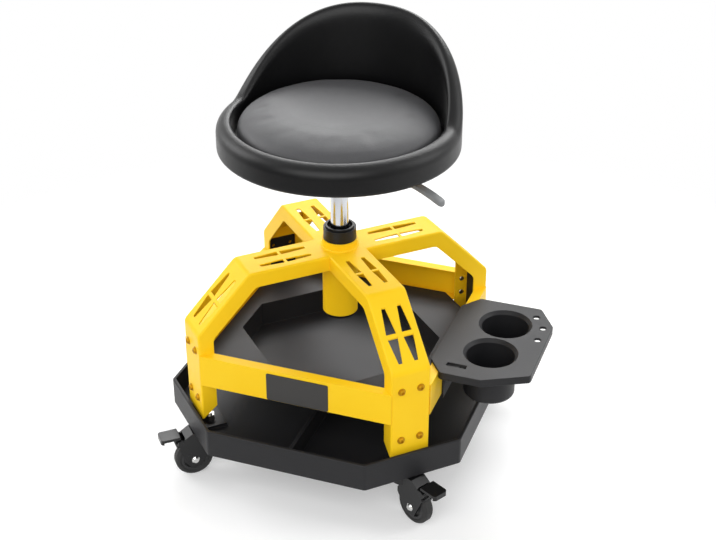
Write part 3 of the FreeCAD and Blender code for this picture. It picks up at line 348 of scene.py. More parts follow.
def mouldedPlastic(name, look):
    # injection moulding: the mould's spark-eroded grain breaks the gloss
    look = {**mouldingBase, **look}
    material, tree, shader, place = startMaterial(name, {
        "IOR": 1.5, "Specular IOR Level": look["specular"]})
    toneAndEdgeHighlight(tree, shader, place, look)
    grain = addNode(tree, "ShaderNodeTexVoronoi", {"feature": "SMOOTH_F1"}, {
        "Scale": perMetre(look["grainMm"]), "Smoothness": look["grainSoft"]}, {"Vector": place})
    rounded = addNode(tree, "ShaderNodeBevel", {"samples": bevelSamples}, {
        "Radius": look["edgeRound"]})
    bump = addNode(tree, "ShaderNodeBump", values={
        "Strength": look["strength"], "Distance": look["depth"]}, links={
        "Height": grain.outputs["Distance"], "Normal": rounded.outputs["Normal"]})
    tree.links.new(bump.outputs["Normal"], shader.inputs["Normal"])
    return material


vinyls = {
    "cushion": {"colour": "#4C4C4E", "deep": "#404042", "roughness": 0.46, "specular": 0.45,
                "sheen": 0.05, "nap": 0.45, "grainMm": 1.3, "grainDepth": 0.00022,
                "strength": 0.4, "swell": 0.25},
    # surround: its near-black colour is painted shade, set darker than the cushion's vinyl to
    # offset the front lamp on the ring's face
    "surround": {"colour": "#0D0D0E", "deep": "#09090A", "roughness": 0.34, "specular": 0.3,
                 "sheen": 0.15, "nap": 0.2, "grainMm": 1.5, "grainDepth": 0.00018,
                 "strength": 0.3, "swell": 0.1},
}

vinylBase = {
    "glossier": 0.04, "duller": 0.08, "cloudMm": 45, "grainRandom": 0.9, "grainValley": 0.28,
    "swellMm": 26, "swellDepth": 0.0012,
}


def vinylHide(name, look):
    # upholstery vinyl, embossed with a leather grain: satin, darker in the grain's valleys
    look = {**vinylBase, **look}
    material, tree, shader, place = startMaterial(name, {
        "IOR": 1.5, "Specular IOR Level": look["specular"], "Sheen Weight": look["sheen"],
        "Sheen Roughness": look["nap"]})
    pebbles = addNode(tree, "ShaderNodeTexVoronoi", {"feature": "DISTANCE_TO_EDGE"}, {
        "Scale": perMetre(look["grainMm"]), "Randomness": look["grainRandom"]}, {"Vector": place})
    cloud = addNode(tree, "ShaderNodeTexNoise", values={
        "Scale": perMetre(look["cloudMm"]), "Detail": 5.0, "Roughness": 0.6}, links={
        "Vector": place})
    rise = addNode(tree, "ShaderNodeMapRange", {"interpolation_type": "SMOOTHSTEP"}, {
        "From Min": 0.0, "From Max": look["grainValley"]}, {"Value": pebbles.outputs["Distance"]})
    patch = addNode(tree, "ShaderNodeMix", {"data_type": "RGBA"}, {
        "A": linear(look["deep"]), "B": linear(look["colour"])}, {"Factor": cloud.outputs["Fac"]})
    tone = addNode(tree, "ShaderNodeMix", {"data_type": "RGBA"}, {"A": linear(look["deep"])}, {
        "Factor": rise.outputs["Result"], "B": patch.outputs["Result"]})
    tree.links.new(tone.outputs["Result"], shader.inputs["Base Color"])
    driftGloss(tree, shader, look, cloud)
    swell = addNode(tree, "ShaderNodeTexNoise", values={
        "Scale": perMetre(look["swellMm"]), "Detail": 2.0}, links={"Vector": place})
    low = addNode(tree, "ShaderNodeBump", values={
        "Strength": look["swell"], "Distance": look["swellDepth"]}, links={
        "Height": swell.outputs["Fac"]})
    bump = addNode(tree, "ShaderNodeBump", values={
        "Strength": look["strength"], "Distance": look["grainDepth"]}, links={
        "Height": rise.outputs["Result"], "Normal": low.outputs["Normal"]})
    tree.links.new(bump.outputs["Normal"], shader.inputs["Normal"])
    return material


metals = {
    "chrome": {"colour": "#C6C8CC", "roughness": 0.13, "markMm": 0.5, "spread": 0.03,
               "edgeRound": 0.0006},
    "zinc": {"colour": "#C9C8C2", "roughness": 0.33, "markMm": 1.2, "spread": 0.12,
             "edgeRound": 0.0004},
    "yellowZinc": {"colour": "#BC8C1C", "roughness": 0.48, "markMm": 1.2, "spread": 0.10,
                   "edgeRound": 0.0004},
    "ground": {"colour": "#D2D2D0", "roughness": 0.20, "markMm": 0.6, "spread": 0.08,
               "edgeRound": 0.0004},
}

metalBase = {"markStretch": (0.15, 0.15, 1.0), "markStrength": 0.08, "markDepth": 0.00003}


def bareMetal(name, look):
    # plated or ground steel: fine turning marks and a plating cloud break its bright gloss
    look = {**metalBase, **look}
    material, tree, shader, place = startMaterial(name, {
        "Metallic": 1.0, "Base Color": linear(look["colour"])})
    drawn = addNode(tree, "ShaderNodeMapping", values={"Scale": look["markStretch"]}, links={
        "Vector": place})
    marks = addNode(tree, "ShaderNodeTexNoise", values={
        "Scale": perMetre(look["markMm"]), "Detail": 3.0}, links={"Vector": drawn.outputs[0]})
    rough = addNode(tree, "ShaderNodeMapRange", values={
        "To Min": look["roughness"] - look["spread"],
        "To Max": look["roughness"] + look["spread"]}, links={"Value": marks.outputs["Fac"]})
    tree.links.new(rough.outputs["Result"], shader.inputs["Roughness"])
    rounded = addNode(tree, "ShaderNodeBevel", {"samples": bevelSamples}, {
        "Radius": look["edgeRound"]})
    bump = addNode(tree, "ShaderNodeBump", values={
        "Strength": look["markStrength"], "Distance": look["markDepth"]}, links={
        "Height": marks.outputs["Fac"], "Normal": rounded.outputs["Normal"]})
    tree.links.new(bump.outputs["Normal"], shader.inputs["Normal"])
    return material


wavePeriod = math.tau / 20   # a wave texture of scale 1 repeats every so many metres

plywoodLook = {
    "face": "#C9A878", "streak": "#A8814F", "edgeDark": "#7A5A36", "roughness": 0.68,
    "grainMm": 3.0, "grainStretch": (0.06, 1.0, 1.0), "grainWarp": 0.6, "grainStrength": 0.3,
    "grainDepth": 0.0002, "plyPairMm": 9.42478, "plyWarp": 0.4,
}


def birchPlywood(name, look):
    # rotary-cut veneers: long grain streaks on the face, light and dark plies on the edge
    material, tree, shader, place = startMaterial(name, {
        "Roughness": look["roughness"], "IOR": 1.5})
    drawn = addNode(tree, "ShaderNodeMapping", values={"Scale": look["grainStretch"]}, links={
        "Vector": place})
    grain = addNode(tree, "ShaderNodeTexNoise", values={
        "Scale": perMetre(look["grainMm"]), "Detail": 5.0, "Distortion": look["grainWarp"]}, links={
        "Vector": drawn.outputs[0]})
    face = addNode(tree, "ShaderNodeMix", {"data_type": "RGBA"}, {
        "A": linear(look["face"]), "B": linear(look["streak"])}, {"Factor": grain.outputs["Fac"]})
    plies = addNode(tree, "ShaderNodeTexWave", {"bands_direction": "Z"}, {
        "Scale": perMetre(look["plyPairMm"]) * wavePeriod, "Distortion": look["plyWarp"]}, {
        "Vector": place})
    edge = addNode(tree, "ShaderNodeMix", {"data_type": "RGBA"}, {
        "A": linear(look["face"]), "B": linear(look["edgeDark"])}, {"Factor": plies.outputs["Fac"]})
    normal = addNode(tree, "ShaderNodeNewGeometry").outputs["Normal"]
    up = addNode(tree, "ShaderNodeSeparateXYZ", links={"Vector": normal})
    level = addNode(tree, "ShaderNodeMath", {"operation": "ABSOLUTE"}, links={0: up.outputs["Z"]})
    mix = addNode(tree, "ShaderNodeMix", {"data_type": "RGBA"}, links={
        "Factor": level.outputs[0], "A": edge.outputs["Result"], "B": face.outputs["Result"]})
    tree.links.new(mix.outputs["Result"], shader.inputs["Base Color"])
    bump = addNode(tree, "ShaderNodeBump", values={
        "Strength": look["grainStrength"], "Distance": look["grainDepth"]}, links={
        "Height": grain.outputs["Fac"]})
    tree.links.new(bump.outputs["Normal"], shader.inputs["Normal"])
    return material


rubberLook = {
    "colour": "#1B1B1B", "dust": "#34322F", "roughness": 0.62, "glossier": 0.06, "duller": 0.1,
    "cloudMm": 14, "dustFrom": 0.5, "dustFull": 0.75, "dustMost": 0.5,
    "poreMm": 1.1, "poreStrength": 0.35, "poreDepth": 0.0001, "edgeRound": 0.0008,
}


def tyreRubber(name, look):
    # moulded thermoplastic rubber: dull and dark, with a little dust from the floor on it
    material, tree, shader, place = startMaterial(name, {"IOR": 1.5})
    cloud = addNode(tree, "ShaderNodeTexNoise", values={
        "Scale": perMetre(look["cloudMm"]), "Detail": 6.0, "Roughness": 0.65}, links={
        "Vector": place})
    dust = addNode(tree, "ShaderNodeMapRange", values={
        "From Min": look["dustFrom"], "From Max": look["dustFull"],
        "To Max": look["dustMost"]}, links={"Value": cloud.outputs["Fac"]})
    tone = addNode(tree, "ShaderNodeMix", {"data_type": "RGBA"}, {
        "A": linear(look["colour"]), "B": linear(look["dust"])}, {"Factor": dust.outputs["Result"]})
    tree.links.new(tone.outputs["Result"], shader.inputs["Base Color"])
    driftGloss(tree, shader, look, cloud)
    pores = addNode(tree, "ShaderNodeTexNoise", values={
        "Scale": perMetre(look["poreMm"]), "Detail": 2.0}, links={"Vector": place})
    rounded = addNode(tree, "ShaderNodeBevel", {"samples": bevelSamples}, {
        "Radius": look["edgeRound"]})
    bump = addNode(tree, "ShaderNodeBump", values={
        "Strength": look["poreStrength"], "Distance": look["poreDepth"]}, links={
        "Height": pores.outputs["Fac"], "Normal": rounded.outputs["Normal"]})
    tree.links.new(bump.outputs["Normal"], shader.inputs["Normal"])
    return material


labelLook = {
    "colour": "#242322", "drift": "#2C2A28", "roughness": 0.40, "glossier": 0.05, "duller": 0.08,
    "brushMm": 1.0, "brushStretch": (0.03, 1.0, 1.0), "edgeRound": 0.0005,
}


def labelFilm(name, look):
    # bare satin film over a thin plate: faintly brushed, plain from edge to edge
    material, tree, shader, place = startMaterial(name, {"IOR": 1.5})
    drawn = addNode(tree, "ShaderNodeMapping", values={"Scale": look["brushStretch"]}, links={
        "Vector": place})
    brush = addNode(tree, "ShaderNodeTexNoise", values={
        "Scale": perMetre(look["brushMm"]), "Detail": 3.0}, links={"Vector": drawn.outputs[0]})
    tone = addNode(tree, "ShaderNodeMix", {"data_type": "RGBA"}, {
        "A": linear(look["colour"]), "B": linear(look["drift"])}, {"Factor": brush.outputs["Fac"]})
    tree.links.new(tone.outputs["Result"], shader.inputs["Base Color"])
    driftGloss(tree, shader, look, brush)
    rounded = addNode(tree, "ShaderNodeBevel", {"samples": bevelSamples}, {
        "Radius": look["edgeRound"]})
    tree.links.new(rounded.outputs["Normal"], shader.inputs["Normal"])
    return material


# One finish for each of the record's material slots, and yellow zinc for the foot bolts.

finishes = {
    "yellow_paint": powderCoat("powderCoatYellow", powderCoats["yellow"]),
    "black_paint": powderCoat("powderCoatBlack", powderCoats["black"]),
    "tray_plastic": mouldedPlastic("grainedPolypropylene", mouldings["tray"]),
    "lever_plastic": mouldedPlastic("gripPlastic", mouldings["lever"]),
    "caster_plastic": mouldedPlastic("glossNylon", mouldings["caster"]),
    "core_plastic": mouldedPlastic("wheelNylon", mouldings["core"]),
    "bush_plastic": mouldedPlastic("bushAcetal", mouldings["bush"]),
    "label_film": labelFilm("bareFilm", labelLook),
    "zinc_steel": bareMetal("zincPlatedSteel", metals["zinc"]),
    "yellowZinc": bareMetal("yellowZincSteel", metals["yellowZinc"]),
    "polished_steel": bareMetal("groundSteel", metals["ground"]),
    "chrome": bareMetal("hardChrome", metals["chrome"]),
    "board_wood": birchPlywood("birchPlywood", plywoodLook),
    "surround_vinyl": vinylHide("surroundVinyl", vinyls["surround"]),
    "cushion_vinyl": vinylHide("cushionVinyl", vinyls["cushion"]),
    "tyre_rubber": tyreRubber("tyreRubber", rubberLook),
}

for subpart in frame["record"]["subparts"]:
    node = frame["nodes"][subpart["node"]]
    for slot in node.material_slots:
        slot.material = finishes[subpart["material_slot"]]
print("materials assigned")


def dress(piece, body, slotName, *nodes, finish=None):
    # finish, carrier and the CAD nodes that the piece stands for
    piece.data.materials.clear()
    piece.data.materials.append(finishes[finish or slotName])
    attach(piece, body)
    if nodes:
        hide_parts(*nodes)


# Seat: a soft ring that rises into the back, and a crowned cushion inside it.

padLook = {
    "voxel": 0.0045, "frames": 20, "mass": 0.25, "stiffness": 18, "bending": 2.0, "quality": 6,
    "smoothing": 0.5,
}


def inflate(piece, pad, keepIn):
    # the cover is blown up like a filled skin, held along its foot, and no point passes the cap
    makeActive(piece)
    start = [point.co.copy() for point in piece.data.vertices]
    held = piece.vertex_groups.new(name="held")
    foot = pad["low"] + pad["heldTall"]
    held.add([number for number, place in enumerate(start) if place.z < foot], 1.0, "REPLACE")
    cloth = piece.modifiers.new("Cloth", "CLOTH")
    cloth.settings.quality = padLook["quality"]
    cloth.settings.mass = padLook["mass"]
    cloth.settings.tension_stiffness = padLook["stiffness"]
    cloth.settings.compression_stiffness = padLook["stiffness"]
    cloth.settings.bending_stiffness = padLook["bending"]
    cloth.settings.shrink_min = pad["taut"]
    cloth.settings.use_pressure = True
    cloth.settings.uniform_pressure_force = pad["pressure"]
    cloth.settings.vertex_group_mass = "held"
    cloth.settings.effector_weights.gravity = 0
    cloth.collision_settings.use_collision = False
    cloth.point_cache.frame_start = 1
    cloth.point_cache.frame_end = padLook["frames"]
    for number in range(1, padLook["frames"] + 1):
        scene.frame_set(number)
    bpy.ops.object.modifier_apply(modifier=cloth.name)
    for point, place in zip(piece.data.vertices, start):
        move = point.co - place
        if move.length > pad["cap"]:
            move = move.normalized() * pad["cap"]
        point.co = keepIn(place + move)
    piece.data.update()
    scene.frame_set(1)


seatRing = {
    "outer": 0.1790, "inner": 0.1558, "low": 0.5141, "high": 0.5582,
    "edgeRound": 0.0165, "edgeSteps": 7, "innerRound": 0.0052, "innerSteps": 4,
    "footRound": 0.0038, "footSteps": 3, "straight": 0.012, "rows": 14, "floorRows": 4,
    "steps": 180, "backRise": 0.1172, "spread": 86, "foot": 0.17, "power": 1.23,
    "lipWide": 0.006, "lipDeep": 0.022, "crowd": 1.6, "pressure": 2.5, "cap": 0.001,
    "taut": 0.004, "heldTall": 0.001, "outerLimit": 0.1803, "innerLimit": 0.1548, "smoothings": 4,
}


def backShare(place):
    # how far the ring has risen here: 1 at the back's middle, 0 where it has run out
    turn = abs(math.atan2(place.x - columnX, place.y - columnY))
    away = min(1, turn / math.radians(seatRing["spread"]))
    dome = math.cos(math.pi / 2 * away ** seatRing["power"])
    return dome ** 2 / (dome + seatRing["foot"]) * (1 + seatRing["foot"])


def liftBack(place):
    # the ring's wall stretches up round the back, where its lip curves over wider on the inside
    ring = seatRing
    share = backShare(place)
    lipLow = ring["high"] - ring["edgeRound"]
    wallLow = ring["low"] + ring["footRound"]
    level = min(1, max(0, (place.z - wallLow) / (lipLow - wallLow)))
    flat = fromColumn(place)
    radius = flat.length
    place.z += ring["backRise"] * share * (1 - (1 - level) ** ring["crowd"])
    crest = ring["high"] + ring["backRise"] * share
    below = max(0, crest - place.z) / (ring["innerRound"] + ring["lipDeep"] * share)
    crestOut = ring["inner"] + ring["innerRound"] + ring["lipWide"] * share
    outerStart = ring["outer"] - ring["edgeRound"]
    if radius < ring["inner"] + ring["innerRound"] + nearby:
        if below < 1:
            curve = 1 - math.sqrt(1 - (1 - below) ** 2)
            radius = ring["inner"] + (crestOut - ring["inner"]) * curve
    elif radius > outerStart:
        radius = crestOut + (radius - outerStart) * (ring["outer"] - crestOut) / ring["edgeRound"]
    else:
        radius = crestOut
    flat *= radius / flat.length
    return aroundColumn(flat, place.z)


def keepRing(place):
    flat = fromColumn(place)
    flat *= min(max(flat.length, seatRing["innerLimit"]), seatRing["outerLimit"]) / flat.length
    return aroundColumn(flat, max(place.z, seatRing["low"]))


def makeSurround():
    ring = seatRing
    outer, inner, low, high = ring["outer"], ring["inner"], ring["low"], ring["high"]
    straight = ring["straight"]
    piece = startPiece("seatSurround", bpy.ops.mesh.primitive_plane_add, size=1,
                       location=(columnX + (outer + inner) / 2, columnY, (low + high) / 2),
                       rotation=(math.radians(90), 0, 0), stretch=(outer - inner, high - low, 1))
    openEdit(piece, "VERT")
    for across, height, radius, steps in ((outer, high, ring["edgeRound"], ring["edgeSteps"]),
                                          (inner, high, ring["innerRound"], ring["innerSteps"]),
                                          (outer, low, ring["footRound"], ring["footSteps"])):
        pickPoints(piece, lambda p: math.hypot(p.x - columnX - across, p.z - height) < nearby)
        bpy.ops.mesh.bevel(offset=radius, segments=steps, affect="VERTICES")
    bpy.ops.mesh.select_mode(type="FACE")
    bpy.ops.mesh.select_all(action="SELECT")
    bpy.ops.mesh.delete(type="ONLY_FACE")
    pickEdges(piece, lambda a, b: abs(a.x - b.x) < nearby and abs(a.z - b.z) > straight)
    bpy.ops.mesh.subdivide(number_cuts=ring["rows"])
    pickEdges(piece, lambda a, b: abs(a.z - b.z) < nearby and abs(a.x - b.x) > straight)
    bpy.ops.mesh.subdivide(number_cuts=ring["floorRows"])
    bpy.ops.mesh.select_all(action="SELECT")
    bpy.ops.mesh.spin(steps=ring["steps"], angle=math.radians(360), center=(columnX, columnY, 0),
                      axis=(0, 0, 1))
    closeEdit()
    mendShell(piece)
    movePoints(piece, liftBack)
    inflate(piece, ring, keepRing)
    applyModifier(piece, "SMOOTH", factor=padLook["smoothing"], iterations=ring["smoothings"])
    applyModifier(piece, "SUBSURF", levels=1, render_levels=1)
    smoothShade(piece)
    dress(piece, "seat", "surround_vinyl", "seat_surround")


seatPad = {
    "radius": 0.1500, "low": 0.5313, "shoulder": 0.5456, "steps": 144, "sideCuts": 4,
    "flare": 0.022, "waist": 0.008,
    "rings": ((0.0014, 0.0044), (0.0030, 0.0046), (0.0050, 0.0048), (0.0085, 0.0050),
              (0.013, 0.0042), (0.018, 0.0029), (0.024, 0.0020), (0.028, 0.0011), (0.030, 0.0005)),
    "pressure": 4.0, "cap": 0.0016, "taut": 0.012, "heldTall": 0.003, "limit": 0.1520,
    "footLimit": 0.1540, "footTall": 0.006, "top": 0.5752, "smoothings": (4, 6),
}


def drawIn(place):
    # the cover draws in at half height and spreads again where it is stapled down to the board
    tall = seatPad["shoulder"] - seatPad["low"]
    depth = min(1, max(0, 1 - (place.z - seatPad["low"]) / tall))
    wide = 1 + seatPad["flare"] * depth ** 3 - seatPad["waist"] * math.sin(math.pi * depth)
    return Vector((columnX + (place.x - columnX) * wide, columnY + (place.y - columnY) * wide,
                   place.z))


def keepPad(place):
    flat = fromColumn(place)
    onFoot = place.z <= seatPad["low"] + seatPad["footTall"]
    limit = seatPad["footLimit"] if onFoot else seatPad["limit"]
    if flat.length > limit:
        flat *= limit / flat.length
    return aroundColumn(flat, min(max(place.z, seatPad["low"]), seatPad["top"]))


def makeCushion():
    pad = seatPad
    tall = pad["shoulder"] - pad["low"]
    piece = startPiece("seatCushion", bpy.ops.mesh.primitive_cylinder_add, vertices=pad["steps"],
                       radius=pad["radius"], depth=tall,
                       location=(columnX, columnY, pad["low"] + tall / 2))
    openEdit(piece)
    pickFaces(piece, lambda middle, normal: normal.z > square)
    for inset, rise in pad["rings"]:
        bpy.ops.mesh.inset(thickness=inset)
        bpy.ops.transform.translate(value=(0, 0, rise))
    pickEdges(piece, lambda a, b: abs(a.z - b.z) > tall * almost)
    bpy.ops.mesh.subdivide(number_cuts=pad["sideCuts"])
    closeEdit()
    movePoints(piece, drawIn)
    before, after = pad["smoothings"]
    applyModifier(piece, "REMESH", mode="VOXEL", voxel_size=padLook["voxel"])
    applyModifier(piece, "SMOOTH", factor=padLook["smoothing"], iterations=before)
    inflate(piece, pad, keepPad)
    applyModifier(piece, "SMOOTH", factor=padLook["smoothing"], iterations=after)
    applyModifier(piece, "SUBSURF", levels=1, render_levels=1)
    smoothShade(piece)
    dress(piece, "seat", "cushion_vinyl", "seat_cushion")


# The cover's hem, stapled down on the board in the groove between cushion and ring.

hem = {
    "outer": 0.1552, "inner": 0.138, "low": 0.5301, "thick": 0.001, "steps": 144,
    "edgeRound": 0.0003, "edgeSteps": 2, "sharp": 40,
}


def makeHem():
    piece = startPiece("coverHem", bpy.ops.mesh.primitive_cylinder_add, vertices=hem["steps"],
                       radius=hem["outer"], depth=hem["thick"],
                       location=(columnX, columnY, hem["low"] + hem["thick"] / 2))
    openEdit(piece)
    for side in (1, -1):
        pickFaces(piece, lambda middle, normal: normal.z * side > square)
        bpy.ops.mesh.inset(thickness=hem["outer"] - hem["inner"])
    pickFaces(piece, lambda middle, normal: abs(normal.z) > square
              and fromColumn(middle).length < hem["inner"] / 2)
    bpy.ops.mesh.bridge_edge_loops()
    closeEdit()
    applyModifier(piece, "BEVEL", width=hem["edgeRound"], segments=hem["edgeSteps"],
                  limit_method="ANGLE", angle_limit=math.radians(hem["sharp"]))
    smoothShade(piece, hem["sharp"])
    dress(piece, "seat", "surround_vinyl")


makeSurround()
makeCushion()
makeHem()
print("seat padded")


# Lever grip: a moulded paddle, rounded at its tip and drooping a little.

grip = {
    "turn": -22, "start": 0.140, "tip": 0.197, "half": 0.0065, "rootTall": 0.008, "cuts": 7,
    "fall": 0.013, "fallCurve": 1.5, "rootWide": 0.82, "flare": 1.1,
    "tipRound": 0.0055, "tipSteps": 6, "edgeRound": 0.0018, "edgeSteps": 4, "sharp": 35,
    "smoothUnder": 40,
}


def makeGrip():
    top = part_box("lever_paddle")[1][2]
    rootTall = grip["rootTall"]
    length = grip["tip"] - grip["start"]
    piece = startPiece("leverGrip", bpy.ops.mesh.primitive_cube_add, size=1,
                       location=(grip["start"] + length / 2, 0, top - rootTall / 2),
                       stretch=(length, grip["half"] * 2, rootTall))
    openEdit(piece)
    pickEdges(piece, lambda a, b: abs(a.x - b.x) > length * almost)
    bpy.ops.mesh.subdivide(number_cuts=grip["cuts"])
    closeEdit()

    def droop(place):
        # narrow at the root, widest past the middle, falling faster towards the tip
        share = (place.x - grip["start"]) / length
        swell = math.sin(math.pi * min(1, share * grip["flare"]) / 2)
        place.z -= grip["fall"] * share ** grip["fallCurve"]
        place.y *= grip["rootWide"] + (1 - grip["rootWide"]) * swell
        return place

    movePoints(piece, droop)
    openEdit(piece)
    pickEdges(piece, lambda a, b: min(a.x, b.x) > grip["tip"] - nearby
              and abs(a.z - b.z) > rootTall / 2)
    bpy.ops.mesh.bevel(offset=grip["tipRound"], segments=grip["tipSteps"])
    closeEdit()
    applyModifier(piece, "BEVEL", width=grip["edgeRound"], segments=grip["edgeSteps"],
                  limit_method="ANGLE", angle_limit=math.radians(grip["sharp"]))
    smoothShade(piece, grip["smoothUnder"])
    piece.data.transform(Matrix.Translation((columnX, columnY, 0))
                         @ Matrix.Rotation(math.radians(grip["turn"]), 4, "Z"))
    dress(piece, "lever", "lever_plastic", "lever_paddle")


makeGrip()
print("lever grip made")


# Foot bolts: button heads with a hex socket on plain washers, two low and two high on each leg.

footBolt = {
    "reach": 0.244, "side": 0.0152, "heights": (0.148, 0.232), "steps": 36, "twist": 0.7,
    "washer": 0.0060, "washerThick": 0.001, "washerRound": 0.0003, "washerSteps": 2,
    "head": 0.0046, "headThick": 0.003, "headRound": 0.0021, "headSteps": 5,
    "socket": 0.0023, "socketLip": 0.0005, "socketDeep": 0.0016, "mouth": 0.0026,
    "smoothUnder": 35,
}


def makeFootBolts():
    bolt = footBolt
    thick = bolt["washerThick"]
    washer = startPiece("footWasher", bpy.ops.mesh.primitive_cylinder_add, vertices=bolt["steps"],
                        radius=bolt["washer"], depth=thick, location=(0, 0, thick / 2))
    openEdit(washer)
    pickRim(washer, thick)
    bpy.ops.mesh.bevel(offset=bolt["washerRound"], segments=bolt["washerSteps"])
    closeEdit()
    top = thick + bolt["headThick"]
    head = startPiece("footHead", bpy.ops.mesh.primitive_cylinder_add, vertices=bolt["steps"],
                      radius=bolt["head"], depth=bolt["headThick"],
                      location=(0, 0, thick + bolt["headThick"] / 2))
    openEdit(head)
    pickRim(head, top)
    bpy.ops.mesh.bevel(offset=bolt["headRound"], segments=bolt["headSteps"])
    pickFaces(head, lambda middle, normal: normal.z > square)
    bpy.ops.mesh.inset(thickness=bolt["socketLip"])
    closeEdit()

    def hexagon(place):
        # the socket's mouth is drawn from round to six-sided
        if place.z > top - nearby and math.hypot(place.x, place.y) < bolt["mouth"]:
            angle = math.atan2(place.y, place.x)
            near = (angle + math.pi / 6) % (math.pi / 3) - math.pi / 6
            radius = bolt["socket"] * math.cos(math.pi / 6) / math.cos(near)
            return Vector((radius * math.cos(angle), radius * math.sin(angle), place.z))
        return place

    movePoints(head, hexagon)
    mendShell(head)
    openEdit(head)
    pickFaces(head, lambda middle, normal: normal.z > square
              and math.hypot(middle.x, middle.y) < bolt["socketLip"])
    bpy.ops.mesh.extrude_region_move(
        TRANSFORM_OT_translate={"value": (0, 0, -bolt["socketDeep"])})
    closeEdit()
    model = joinPieces([washer, head], "footBolt")
    smoothShade(model, bolt["smoothUnder"])
    copies = []
    for quarter in range(4):
        for side in (-bolt["side"], bolt["side"]):
            for height in bolt["heights"]:
                matrix = (atLeg(quarter) @ Matrix.Translation((bolt["reach"], side, height))
                          @ Matrix.Rotation(math.pi / 2, 4, "Y")
                          @ Matrix.Rotation(len(copies) * bolt["twist"], 4, "Z"))
                copies.append(copyTurned(model, f"footBolt{len(copies) + 1}", matrix))
    bpy.data.objects.remove(model)
    bolts = joinPieces(copies, "footBolts")
    dress(bolts, "frame", "zinc_steel", "foot_bolts", finish="yellowZinc")


makeFootBolts()


# Rivets: domed heads on both faces of every rail end.

rivet = {
    "out": 0.232, "heights": (0.192, 0.217), "faces": ((0.029, -1), (0.033, 1)), "steps": 28,
    "radius": 0.0042, "thick": 0.0014, "edgeRound": 0.00125, "edgeSteps": 5,
    "dimple": 0.0016, "dimpleDeep": 0.0004, "smoothUnder": 40,
}


def makeRivets():
    thick = rivet["thick"]
    model = startPiece("rivetHead", bpy.ops.mesh.primitive_cylinder_add, vertices=rivet["steps"],
                       radius=rivet["radius"], depth=thick, location=(0, 0, thick / 2))
    openEdit(model)
    pickRim(model, thick)
    bpy.ops.mesh.bevel(offset=rivet["edgeRound"], segments=rivet["edgeSteps"])
    pickFaces(model, lambda middle, normal: normal.z > square)
    bpy.ops.mesh.inset(thickness=rivet["dimple"])
    bpy.ops.transform.translate(value=(0, 0, -rivet["dimpleDeep"]))
    closeEdit()
    smoothShade(model, rivet["smoothUnder"])
    copies = []
    for quarter in range(4):
        for side in (-1, 1):
            for height in rivet["heights"]:
                for depth, outward in rivet["faces"]:
                    facing = -math.pi / 2 * side * outward
                    matrix = (atLeg(quarter)
                              @ Matrix.Translation((rivet["out"], side * depth, height))
                              @ Matrix.Rotation(facing, 4, "X"))
                    copies.append(copyTurned(model, f"rivet{len(copies) + 1}", matrix))
    bpy.data.objects.remove(model)
    rivets = joinPieces(copies, "railRivets")
    dress(rivets, "frame", "zinc_steel", "rail_rivets")


makeRivets()
print("bolts and rivets set")


# Weld bead: the rippled fillet round the hub sleeve, painted over with the frame.

weld = {
    "radius": 0.0272, "height": 0.349, "bead": 0.0024, "steps": 184, "beadSteps": 10,
    "ripples": 46, "ripple": 0.0004, "rippleCurve": 0.6, "rippleGain": 1.4,
}


def makeHubWeld():
    piece = startPiece("hubWeld", bpy.ops.mesh.primitive_torus_add, major_radius=weld["radius"],
                       minor_radius=weld["bead"], major_segments=weld["steps"],
                       minor_segments=weld["beadSteps"],
                       location=(columnX, columnY, weld["height"]))

    def ripple(place):
        # the bead thins between the puddles that the welder laid one after another
        flat = fromColumn(place)
        turn = math.atan2(flat.y, flat.x)
        wave = abs(math.sin(turn * weld["ripples"] / 2)) ** weld["rippleCurve"]
        thinner = weld["ripple"] / weld["bead"] * (1 - wave) * weld["rippleGain"]
        out = flat.normalized()
        core = Vector((out.x * weld["radius"], out.y * weld["radius"], 0))
        offset = Vector((flat.x, flat.y, place.z - weld["height"])) - core
        swollen = core + offset * (1 - thinner)
        return aroundColumn(swollen, swollen.z + weld["height"])

    movePoints(piece, ripple)
    smoothShade(piece)
    dress(piece, "frame", "yellow_paint")


makeHubWeld()
print("weld laid")


# Floor, background and light: a white sweep that keeps only the object's soft shadow.

studio = {
    "floorSize": 6, "floorCuts": 8, "floorGrey": "#E6E6E6", "floorLift": 0.27,
    "fadeStart": 0.75, "fadeEnd": 1.15, "ambient": 0.46, "frontShare": 0.3,
    "frontEdge": (-0.75, 0.0),
}

lamps = {
    "key": {"place": (0.2, -2.4, 1.8), "aim": (0, 0, 0.3), "size": (3.4, 2.2), "power": 67},
    "leftSide": {"place": (-2.1, 0.0, 1.5), "aim": (0, 0, 0.3), "size": (1.4, 1.4), "power": 23},
    "rearTop": {"place": (-0.3, 1.8, 1.8), "aim": (0, 0, 0.5), "size": (2.2, 1.0), "power": 48},
    "rightSide": {"place": (1.9, 0.6, 1.5), "aim": (0, 0, 0.4), "size": (1.0, 1.6), "power": 15},
}


def seenDirectly(tree):
    # 1 for what the camera, a mirror or clear plastic sees directly
    paths = addNode(tree, "ShaderNodeLightPath")
    seen = addNode(tree, "ShaderNodeMath", {"operation": "MAXIMUM"}, links={
        0: paths.outputs["Is Camera Ray"], 1: paths.outputs["Is Glossy Ray"]})
    return addNode(tree, "ShaderNodeMath", {"operation": "MAXIMUM"}, links={
        0: seen.outputs[0], 1: paths.outputs["Is Transmission Ray"]}).outputs[0]


